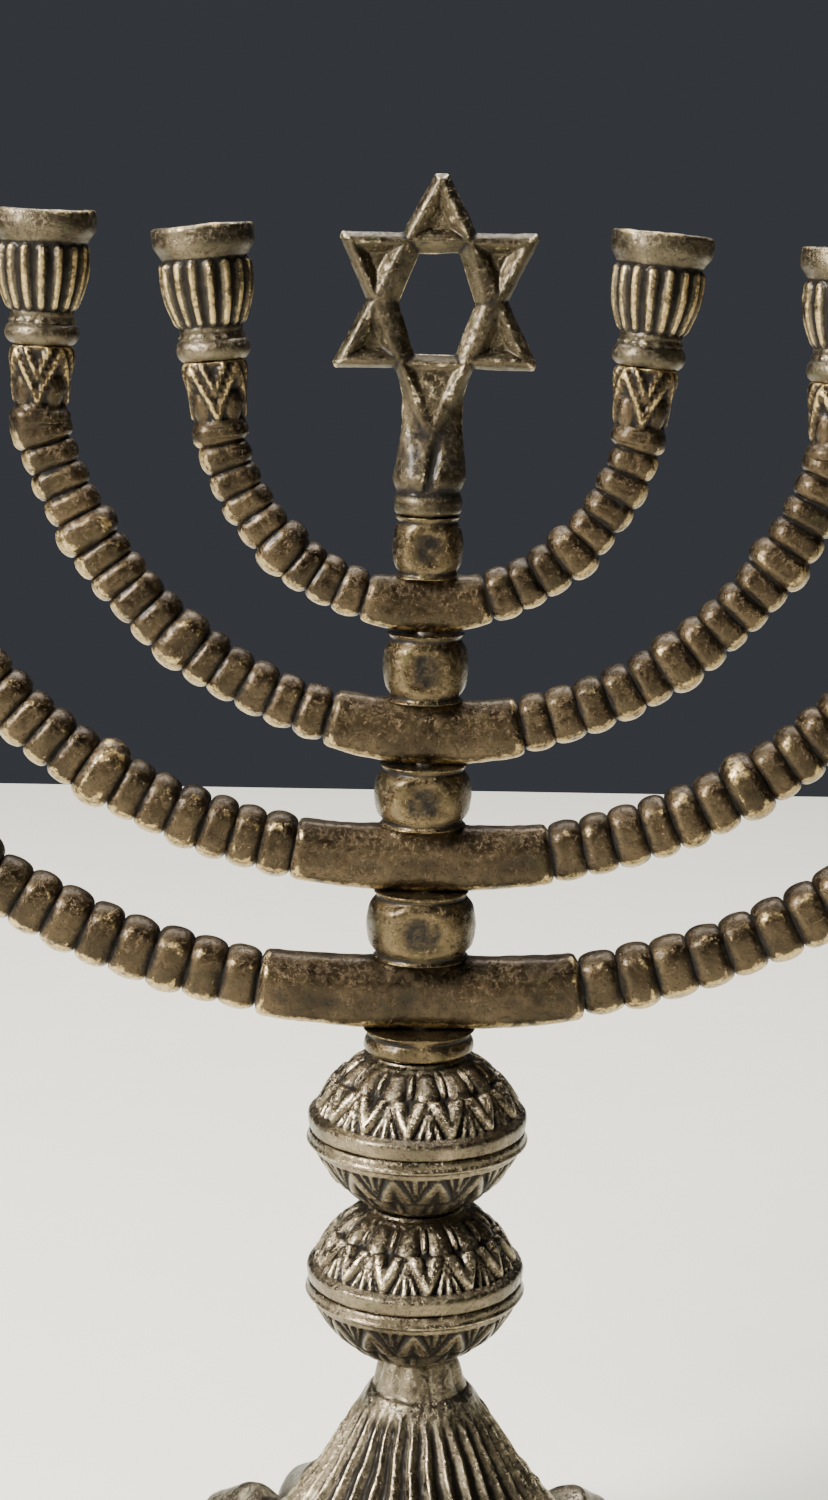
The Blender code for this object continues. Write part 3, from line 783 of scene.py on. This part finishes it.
def make_bead(number, material):
    """A barrel bead with flats in front and behind, and a shallow panel in each flat."""
    node = f"spacer_bead_{number}"
    low, high = span(node)
    low, high = low - 0.5, high + 0.5
    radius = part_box(node)[1].x / MM
    tall = high - low
    waist = radius * BEAD_WAIST
    profile = soften(
        (
            (ROD_HOLE_R, low, 0),
            (waist + 0.9, low, 0.1),
            (waist + 0.1, low + 0.8, 1.2),
            (radius * 0.95, low + 0.21 * tall, 0.8),
            (radius * 1.015, low + 0.5 * tall, 2.4),
            (radius * 0.95, high - 0.21 * tall, 0.8),
            (waist + 0.1, high - 0.8, 1.2),
            (waist + 0.9, high, 0.1),
            (ROD_HOLE_R, high, 0),
        ),
        0.3,
    )
    r, z, angle = turned_grid(profile, BEAD_COLUMNS)
    points = facet(turned_points(r, z, angle), radius * BEAD_FLAT, 0.6)
    x = points[..., 0]
    middle = (low + high) / 2
    panel = (np.abs(x / (radius * 0.6)) ** 4 + np.abs((z - middle) / (tall * 0.3)) ** 4) ** 0.25
    sunk = 0.14 * smoothstep(1.25, 0.6, panel) * (r > waist)
    points[..., 1] -= np.sign(points[..., 1]) * sunk
    faces = grid_faces(len(profile), BEAD_COLUMNS, True)
    name = f"bead_{number}_cast"
    ends = 0.5 * smoothstep(tall * 0.36, tall * 0.5, np.abs(z - middle))
    drawn = 0.4 * smoothstep(0.75, 1.0, panel) * smoothstep(1.5, 1.1, panel)
    pattern = (drawn - 0.35 * smoothstep(1.1, 0.3, panel) + ends) * (r > waist)
    points = points.reshape(-1, 3)
    make_piece(name, points, faces, material, node, 0.12, pattern)


def make_collar(material):
    node = "lower_collar"
    low, high = span(node)
    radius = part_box(node)[1].x / MM
    profile = soften(
        (
            (ROD_HOLE_R, low, 0),
            (radius - 0.6, low, 0.2),
            (radius, low + 0.5, 0.4),
            (radius - 0.1, low + 1.9, 0.9),
            (radius - 0.9, high - 0.6, 0.6),
            (radius + 0.2, high + COLLAR_FIT, 0.1),
            (ROD_HOLE_R, high + COLLAR_FIT, 0),
        ),
        0.25,
    )
    grid = turned_grid(profile, BEAD_COLUMNS)
    points = facet(turned_points(*grid), radius * COLLAR_FLAT, 0.3)
    faces = grid_faces(len(profile), BEAD_COLUMNS, True)
    make_piece("collar_cast", points.reshape(-1, 3), faces, material, node)


def lotus(angle, v, radius, tall):
    """Height of the lotus pattern, 0 to 1: V petals on the band, a rib in a narrow frame between
    them, and round petals that hang over them like scales."""
    cell = 2 * math.pi / KNOB_CELLS
    a = np.abs((angle / cell + 0.5) % 1 - 0.5) * cell * radius
    wide = cell * radius / 2
    top = 0.6 * tall
    leg = to_line(a, v, (0.0, 0.9), (wide * 0.6, top - 0.4))
    leg_width = 0.9 + 0.45 * np.clip(v / top, 0, 1)
    petal = dome(leg / leg_width) * smoothstep(top + 0.3, top - 0.3, v)
    rib = 0.8 * dome(to_line(a, v, (wide, 0.3), (wide, 0.3 * tall)) / 0.6)
    frame_line = 0.7 * dome(to_line(a, v, (wide * 0.55, 0.3), (wide, 0.5 * tall)) / 0.42)
    between = a > wide * 0.3
    middle = np.where(between, wide, 0.0)
    half = np.where(between, wide * 0.72, wide * 0.27)
    foot = np.where(between, 0.74, 0.86) * tall
    scale = np.hypot((a - middle) / half, np.minimum(0, v - foot) / (0.2 * tall))
    scale = 0.95 * dome(scale, 0.5) * smoothstep(1.08 * tall, 0.9 * tall, v)
    return np.maximum.reduce([petal, rib, frame_line, scale])


def make_knob_half(name, seam, end, depth, turn, material):
    """One hollow half shell, from the seam to its end, with the lotus pattern."""
    way = 1 if end > seam else -1
    tall = abs(end - seam)
    slope_low, slope_high = KNOB_BAND + 0.3, tall - 0.9
    lip = way < 0
    band_top = 1.9 if lip else 2.6
    seam_face = -0.1
    outer = (
        (KNOB_R - 1.8, seam_face, 0),
        (KNOB_R - 0.3, seam_face, 0.2),
        (KNOB_R - 0.05, 0.3, 0.3),
        (KNOB_R + 0.15, 0.75 * band_top, 0.5),
        (KNOB_R - 0.05, band_top, 0.35),
        (KNOB_R - 0.8, band_top + 0.4, 0.2),
        (KNOB_R - 1.0, slope_low, 0.3),
        (14.1, 0.63 * tall, 3.2),
        (KNOB_TOP_R, slope_high, 1.2),
        (KNOB_TOP_R - 1.2, slope_high + 0.35, 0.2),
        (KNOB_TOP_R - 1.4, tall, 0.2),
        (ROD_HOLE_R, tall, 0),
    )
    inner = (
        (ROD_HOLE_R, tall - 1.6, 0),
        (KNOB_TOP_R - 2.6, tall - 1.8, 0.5),
        (12.4, 0.58 * tall, 2),
        (KNOB_R - 2.2, 2.0, 0.6),
        (KNOB_R - 2.2, 0.3, 0),
    )
    outer = soften(outer, 0.25)
    profile = np.vstack([outer, soften(inner, 1.5)])
    cols = KNOB_CELLS * CELL_COLUMNS
    radius, height, angle = turned_grid(profile, cols)
    v = height - slope_low
    pattern = lotus(angle + turn, v, np.maximum(radius, 3), slope_high - slope_low)
    on_outside = (np.arange(len(profile)) < len(outer))[:, None] & (radius > KNOB_TOP_R - 1)
    window = smoothstep(-0.1, 0.3, v) * smoothstep(slope_high + 0.2, slope_high - 0.4, height)
    push = depth * (pattern - 0.62) * window * on_outside
    radius = radius + push * 0.75
    height = height + push * 0.65
    if lip:
        radius = radius + 0.3 * dome((height - 1.7) / 0.4) * on_outside
    z = seam + way * height
    points = turned_points(radius, z, angle)
    faces = grid_faces(len(profile), cols, True)
    piece = f"{name}_cast"
    # Painted shade: the lower half gets a stronger dark offset than the upper, on the knob's
    # underside.
    drawn = (1.1 * pattern - (1.5 if lip else 0.6)) * window * on_outside
    points = points.reshape(-1, 3)
    make_piece(piece, points, faces, material, name, 0.1, drawn)


def base_flare(fall):
    """Radius and height of the bell's outside, as its fall goes from 0 at the neck to 1."""
    rise = BASE_SHOULDER * fall**0.5 + (1 - BASE_SHOULDER) * fall**BASE_FLARE_POWER
    radius = BASE_SHOULDER_R + (BASE_FLARE_R - BASE_SHOULDER_R) * rise
    return np.column_stack([radius, BASE_NECK_FOOT - (BASE_NECK_FOOT - BASE_FLARE_Z) * fall])


def make_base(material):
    """The bell: a faceted neck, a fluted flare and a lobed foot, hollow from below."""
    top = span("base_bell")[1]
    neck = soften(
        (
            (ROD_HOLE_R, top, 0),
            (5.7, top, 0.3),
            (6.2, top - 0.8, 0.5),
            (6.8, top - 2.4, 1.0),
            (7.3, top - 4.2, 1.0),
            (7.7, BASE_NECK_FOOT + 0.5, 0.5),
            (BASE_SHOULDER_R, BASE_NECK_FOOT, 0),
        ),
        0.35,
    )
    foot = soften(
        (
            (BASE_FLARE_R, BASE_FLARE_Z, 0),
            (BASE_FLARE_R + 2.0, BASE_FLARE_Z - 1.6, 1.5),
            (BASE_FLARE_R + 5.0, BASE_FLARE_Z - 3.6, 1.5),
            (BASE_RIM_R - BASE_LOBE, 0.4 * BASE_FLARE_Z, 2.0),
            (BASE_RIM_R - BASE_LOBE - 0.1, 0.1, 0.5),
            (BASE_RIM_R - BASE_LOBE - 2.5, 0.1, 0.5),
        ),
        0.6,
    )
    inside = base_flare(np.linspace(0.97, 0.36, 24)) - BASE_INNER_STEP
    deck = soften(
        (
            (7.6, 31.5, 0),
            (7.5, BASE_DECK_Z - 0.35, 0.5),
            (7.1, BASE_DECK_Z, 0.3),
            (ROD_HOLE_R, BASE_DECK_Z, 0),
        ),
        1.5,
    )
    outer = np.vstack([neck[:-1], base_flare(np.linspace(0, 1, 130) ** 1.2), foot[1:]])
    profile = np.vstack([outer, inside, deck])
    cols = BASE_FLUTES * FLUTE_COLUMNS
    radius, z, angle = turned_grid(profile, cols)
    outside = (np.arange(len(profile)) < len(outer))[:, None]
    fall = np.clip((BASE_NECK_FOOT - z) / (BASE_NECK_FOOT - BASE_FLARE_Z), 0, 1)
    sway = 0.05 * np.sin(z / 3.1 + 2 * np.sin(angle * 3)) + 0.03 * np.sin(z / 1.3 + angle * 5)
    a = ((angle * BASE_FLUTES / (2 * math.pi) + sway) % 1) * 2 - 1
    deep = 0.75 + 1.5 * smoothstep(0.0, 0.6, fall)
    start = smoothstep(0.02 + 0.05 * a * a, 0.12 + 0.05 * a * a, fall)
    start = start * smoothstep(BASE_FLARE_Z - 2, BASE_FLARE_Z + 6, z)
    hollow = dome(a, 1.0) * start
    channel = deep * hollow
    push = (0.35 * deep * start - channel) * outside
    lobes = BASE_LOBE * np.abs(np.cos((angle - BASE_LOBE_TURN) * BASE_FLUTES / 4))
    lobes = lobes * smoothstep(BASE_FLARE_Z + 4, BASE_FLARE_Z - 1, z) * outside
    radius = radius + push * 0.75 + lobes
    rise = BASE_LOBE_RISE * lobes * smoothstep(BASE_FLARE_R - 2, BASE_FLARE_R + 5, radius)
    z = z + rise * smoothstep(1, 3, z)
    z = z + push * 0.5
    flats = np.abs(np.cos(4 * angle + 0.5)) - 0.6
    flats = flats * smoothstep(BASE_NECK_FOOT - 1.5, BASE_NECK_FOOT + 1.5, z) * (radius > 5)
    radius = radius + 0.7 * flats * outside
    points = turned_points(radius, z, angle)
    off_bore = smoothstep(ROD_HOLE_R + 1.15, BASE_NECK_TOP_R, radius)
    shifted = off_bore * smoothstep(BASE_TRUE_Z, BASE_SHIFTED_Z, z)
    points[..., 0] += BASE_SHIFT * shifted * (1 + BASE_SLANT * (BASE_SLANT_Z - z))
    faces = grid_faces(len(profile), cols, True)
    pattern = (1.1 * start * (1 - dome(a, 1.0)) ** 1.5 - 0.55 * hollow**2) * outside
    # Painted shade: the foot is darkened towards the table.
    pattern = pattern - 0.8 * smoothstep(BASE_FLARE_Z + 4, BASE_FLARE_Z, z) * outside
    points = points.reshape(-1, 3)
    make_piece(
        "base_cast", points, faces, material, "base_bell", 0.13, pattern
    )


def surface_net(field, origin, step):
    """The zero surface of a field sampled on a lattice, as points and quads that face out."""
    inside = field < 0
    shape = np.array(field.shape) - 1
    corners = list(itertools.product((0, 1), repeat=3))

    def part(array, corner):
        return array[tuple(slice(c, c + n) for c, n in zip(corner, shape))]

    hits = sum(part(inside, corner).astype(int) for corner in corners)
    cells = np.argwhere((hits > 0) & (hits < 8))
    index = np.full(shape, -1)
    index[tuple(cells.T)] = np.arange(len(cells))
    total = np.zeros((len(cells), 3))
    count = np.zeros(len(cells))
    for corner in corners:
        for axis in np.flatnonzero(np.array(corner) == 0):
            end = np.array(corner)
            end[axis] = 1
            low = field[tuple((cells + corner).T)]
            high = field[tuple((cells + end).T)]
            crossed = (low < 0) != (high < 0)
            share = np.where(crossed, low / np.where(crossed, low - high, 1), 0)
            place = np.array(corner, float) + share[:, None] * (end - corner)
            total += place * crossed[:, None]
            count += crossed
    points = origin + step * (cells + total / count[:, None])
    faces = []
    for axis in range(3):
        b, c = (axis + 1) % 3, (axis + 2) % 3
        ahead = np.roll(inside, -1, axis)
        crossed = inside != ahead
        crossed[tuple(slice(-1, None) if i == axis else slice(None) for i in range(3))] = False
        spots = np.argwhere(crossed)
        spots = spots[(spots[:, b] > 0) & (spots[:, c] > 0)]
        spots = spots[(spots[:, b] < shape[b]) & (spots[:, c] < shape[c])]
        step_b, step_c = np.eye(3, dtype=int)[b], np.eye(3, dtype=int)[c]
        ring = (spots, spots - step_b, spots - step_b - step_c, spots - step_c)
        quads = np.stack([index[tuple(spot.T)] for spot in ring], axis=-1)
        out = inside[tuple(spots.T)]
        faces += quads[out].tolist() + quads[~out][:, ::-1].tolist()
    return points, faces


def triangle_field(x, z, half, tip, bar):
    """Distance outside a triangle with its tip at one height and its bar at another."""
    rise = abs(tip - bar)
    way = math.copysign(1, tip - bar)
    slant = math.hypot(rise, half)
    side = (np.abs(x) * rise - (tip - z) * way * half) / slant
    return np.maximum(side, (bar - z) * way)


def star_field(x, y, z):
    """Distance outside the star: two crossed triangles with blunt tips, a window in the middle
    and a sunk pyramid in each point."""
    up = triangle_field(x, z, STAR_UP_HALF, STAR_UP_FOOT + STAR_UP_H, STAR_UP_FOOT)
    down = triangle_field(x, z, STAR_DOWN_HALF, STAR_DOWN_TOP - STAR_DOWN_H, STAR_DOWN_TOP)
    blunt = np.where(z > STAR_MIDDLE - 14, np.hypot(1.1 * x, z - STAR_MIDDLE) - 19.9, -1.0)
    outline = np.maximum(np.minimum(up, down), blunt)
    rise = np.abs(z - STAR_MIDDLE)
    window = np.maximum((np.abs(x) - 5.9 + 0.36 * rise) * 0.94, rise - 7.7)
    flat = np.maximum(outline, -window)
    y = np.abs(y)
    bevel = np.where(-window > outline, 0.95, 0.5)
    plate = soft_max(flat + bevel * (y - 0.3).clip(0), y - STAR_HALF_THICK, 0.9)
    for inner, other in ((up, down), (down, up)):
        hollow = np.maximum(inner + STAR_BAR, -STAR_BAR_INNER - other)
        pyramid = hollow + 0.95 * (STAR_HALF_THICK - y)
        plate = soft_max(plate, -np.maximum(pyramid, 0.35 - y), 0.45)
    return plate


def star_patina_and_light(points, bottom):
    """Where the star is pale, in its pockets and along its bars' edges, partly pale patina and
    partly painted light, and where it is dark.
    """
    x, y, z = points.T
    x = x - STAR_LEAN * (z - bottom)
    up = triangle_field(x, z, STAR_UP_HALF, STAR_UP_FOOT + STAR_UP_H, STAR_UP_FOOT)
    down = triangle_field(x, z, STAR_DOWN_HALF, STAR_DOWN_TOP - STAR_DOWN_H, STAR_DOWN_TOP)
    inner, other = np.minimum(up, down), np.maximum(up, down)
    hollow = np.maximum(inner + STAR_BAR, -STAR_BAR_INNER - other)
    front = smoothstep(STAR_HALF_THICK - 0.5, STAR_HALF_THICK - 0.1, np.abs(y))
    on_star = smoothstep(STAR_UP_FOOT - 12, STAR_UP_FOOT - 9, z)
    # Pale pockets, partly pale patina and partly painted light; darker fronts of the bars and a
    # darker neck below the star.
    pale_and_dark = 0.9 * smoothstep(0.0, -0.6, hollow) - 0.4 * front * smoothstep(0.2, 0.7, hollow)
    return pale_and_dark * on_star - 0.4 * (1 - on_star)


def finial_neck_field(x, y, z, bottom):
    """Distance outside the neck and ring below the star, with two lobes and a crease."""
    wide_line = soften(
        (
            (4.5, bottom, 0),
            (5.35, bottom + 0.6, 0.4),
            (5.4, bottom + 2.7, 0.5),
            (4.95, bottom + 3.7, 0.4),
            (5.95, bottom + 5.9, 1.2),
            (5.3, bottom + 9.5, 2.0),
            (4.8, bottom + 14, 2.0),
            (4.5, bottom + STAR_NECK_H, 0),
        ),
        0.3,
    )
    deep_line = soften(
        (
            (4.5, bottom, 0),
            (5.35, bottom + 0.6, 0.4),
            (5.4, bottom + 2.7, 0.5),
            (4.6, bottom + 3.7, 0.4),
            (5.1, bottom + 5.7, 1.2),
            (3.2, bottom + 11, 1.0),
            (1.5, bottom + 13.5, 1.0),
            (1.1, bottom + STAR_NECK_H, 0),
        ),
        0.3,
    )
    wide = np.interp(z, wide_line[:, 1], wide_line[:, 0])
    deep = np.interp(z, deep_line[:, 1], deep_line[:, 0])
    body = (np.hypot(x / wide, y / deep) - 1) * deep
    height = z - bottom
    crease = dome(np.abs(x - 0.16 * (height - 5.5)) / 1.2, 1.5)
    crease = crease * smoothstep(3.8, 5.0, height) * smoothstep(13.5, 9.5, height)
    body = body + 0.6 * crease * smoothstep(1.2, 2.4, np.abs(y))
    return np.maximum(body * 0.85, np.maximum(bottom - z, z - bottom - STAR_NECK_H))


def make_finial(material):
    """The star and its neck, blended into each other, tapped from below for the rod."""
    low, high = (np.array(corner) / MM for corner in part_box("finial_star"))
    step = 0.24
    margin = 4 * step
    axes = [np.arange(a - margin, b + margin, step) for a, b in zip(low, high)]
    axes[0] = np.arange(low[0] - margin, high[0] + STAR_LEAN * (high[2] - low[2]) + margin, step)
    x, y, z = np.meshgrid(*axes, indexing="ij")
    upright = x - STAR_LEAN * (z - low[2])
    star = star_field(upright, y, z)
    neck = finial_neck_field(upright, y, z, low[2])
    field = soft_min(star, neck, 0.5)
    hole = np.maximum(np.hypot(x, y) - ROD_HOLE_R, z - span("tie_rod")[1] - 1)
    field = np.maximum(field, -hole)
    origin = np.array([axis[0] for axis in axes])
    points, faces = surface_net(field, origin, step)
    pattern = star_patina_and_light(points, low[2])
    make_piece("star_cast", points, faces, material, "finial_star", 0.13, pattern)


def make_fasteners(material):
    """The threaded rod, and the washer and nut that pull the stack together."""
    low, high = span("tie_rod")
    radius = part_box("tie_rod")[1].x / MM
    plain_low, plain_high = low + THREAD_LOW, high - THREAD_HIGH
    fine, coarse = THREAD_PITCH / 5, 3.0
    threads = (np.arange(low, plain_low, fine), np.arange(plain_high, high, fine))
    plain = np.arange(plain_low, plain_high, coarse)
    heights = np.concatenate([threads[0], plain, threads[1]])
    profile = np.column_stack([np.full(len(heights), radius), heights])
    r, z, angle = turned_grid(profile, ROD_COLUMNS)
    run_out = smoothstep(plain_low, plain_low - 1, z), smoothstep(plain_high, plain_high + 1, z)
    turn = (z / THREAD_PITCH - angle / (2 * math.pi)) % 1
    r = r - THREAD_DEPTH * np.abs(2 * turn - 1) * np.maximum(*run_out)
    chamfer = 0.35
    r = r - chamfer * (smoothstep(low + 0.5, low, z) + smoothstep(high - 0.5, high, z))
    points = with_poles(turned_points(r, z, angle))
    faces = grid_faces(len(profile), ROD_COLUMNS, False)
    make_piece("rod_threaded", points, faces, material, "tie_rod", 0.0)

    for node, piece in (("base_washer", "washer_flat"), ("base_nut", "nut_hex")):
        low, high = span(node)
        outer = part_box(node)[1].x / MM
        edge = 0.25
        corners = (
            (ROD_HOLE_R, low, 0),
            (ROD_HOLE_R + edge, low - 0.02, edge),
            (outer, low, edge),
            (outer, high, edge),
            (ROD_HOLE_R + edge, high, edge),
            (ROD_HOLE_R, high - edge, 0),
            (ROD_HOLE_R, low + edge, 0),
        )
        profile = soften(corners, 0.16)
        r, z, angle = turned_grid(profile, RING_COLUMNS)
        if node == "base_nut":
            flat = outer * math.cos(math.pi / 6)
            hexagon = flat / np.cos((angle + math.pi / 6) % (math.pi / 3) - math.pi / 6)
            chamfer = outer - 0.45 + 1.6 * np.minimum(z - low, high - z)
            r = np.minimum(r, soft_min(hexagon, chamfer, 0.08))
        points = turned_points(r, z, angle).reshape(-1, 3)
        faces = grid_faces(len(profile), RING_COLUMNS, True)
        make_piece(piece, points, faces, material, node, 0.01)


# The studio, in metres.

FLOOR_SIZE = 1.4
FLOOR_CELLS = 24
LIT_PLACE = (0, 0, 0.14)

# Each light: its name, place, size, power and colour.
LIGHTS = (
    ("key_left", (-0.7, -0.45, 0.62), (0.25, 0.4), 29.0, (1.0, 0.98, 0.95)),
    ("overhead", (-0.05, 0.3, 1.05), (1.1, 0.8), 24.0, (0.98, 0.98, 1.0)),
    ("front_fill", (0.5, -1.3, 0.3), (0.4, 0.9), 1.0, (1.0, 0.96, 0.9)),
)
ROOM_COLOUR = (0.04, 0.043, 0.05, 1)

CAMERA_PLACE = (-0.0016, -0.4116, 0.236)
CAMERA_DOWN = 11.1  # degrees
CAMERA_ROLL = 0.95
LENS = 62.4
SENSOR = 36.0


def make_floor(material):
    """A pale table top that ends well behind the menorah."""
    bpy.ops.mesh.primitive_grid_add(
        x_subdivisions=FLOOR_CELLS, y_subdivisions=FLOOR_CELLS, size=FLOOR_SIZE
    )
    floor = bpy.context.object
    floor.name = "table_top"
    floor.data.materials.append(material)


def make_light(name, place, size, power, colour):
    """A rectangular light that points at the middle of the menorah."""
    data = bpy.data.lights.new(name, "AREA")
    data.shape = "RECTANGLE"
    data.size, data.size_y = size
    data.energy = power
    data.color = colour
    light = bpy.data.objects.new(name, data)
    bpy.context.scene.collection.objects.link(light)
    light.location = place
    away = Vector(place) - Vector(LIT_PLACE)
    light.rotation_euler = away.to_track_quat("Z", "Y").to_euler()


def make_studio():
    for light in LIGHTS:
        make_light(*light)
    world = bpy.data.worlds.new("room")
    world.use_nodes = True
    background = world.node_tree.nodes["Background"]
    background.inputs["Color"].default_value = ROOM_COLOUR
    background.inputs["Strength"].default_value = 1.0
    bpy.context.scene.world = world


def make_camera():
    data = bpy.data.cameras.new("camera")
    data.lens = LENS
    data.sensor_width = SENSOR
    data.clip_start = 0.01
    camera = bpy.data.objects.new("camera", data)
    bpy.context.scene.collection.objects.link(camera)
    pitch = math.radians(90 - CAMERA_DOWN)
    roll = math.radians(CAMERA_ROLL)
    turn = Matrix.Rotation(pitch, 4, "X") @ Matrix.Rotation(roll, 4, "Z")
    camera.matrix_world = Matrix.Translation(CAMERA_PLACE) @ turn
    bpy.context.scene.camera = camera


def main():
    for obj in list(bpy.context.scene.objects):
        if obj.name in ("Cube", "Light", "Camera"):
            bpy.data.objects.remove(obj)
    brass = {name: aged_brass(f"{name}_brass_looks", aged) for name, aged in BRASS.items()}
    steel = plated_steel("fastener_steel_looks")
    joins = [f"spacer_bead_{number}" for number in range(1, 5)] + ["lower_collar"]
    arches = [Arch(*row) for row in zip(joins, joins[1:], ARCHES)]
    for number, arch in enumerate(arches, 1):
        make_arch(number, arch, brass["arch"])
        make_bead(number, brass["stem"])
    make_collar(brass["stem"])
    sides = [(arch, -1) for arch in arches[::-1]] + [(arch, 1) for arch in arches]
    for number, (arch, side) in enumerate(sides, 1):
        make_cup(number, arch, side, brass["cup"])
    for number, turn in enumerate(KNOB_TURNS, 1):
        lower, upper = f"knob_{number}_lower", f"knob_{number}_upper"
        seam = span(lower)[1]
        lower_turn = turn + KNOB_HALF_TURN
        make_knob_half(lower, seam, span(lower)[0], KNOB_LOWER_RELIEF, lower_turn, brass["knob"])
        upper_seam = seam + KNOB_SEAM
        make_knob_half(upper, upper_seam, span(upper)[1], KNOB_RELIEF, turn, brass["knob"])
    make_base(brass["base"])
    make_finial(brass["star"])
    make_fasteners(steel)
    make_floor(table_paint("pale_table"))
    make_studio()
    make_camera()


main()
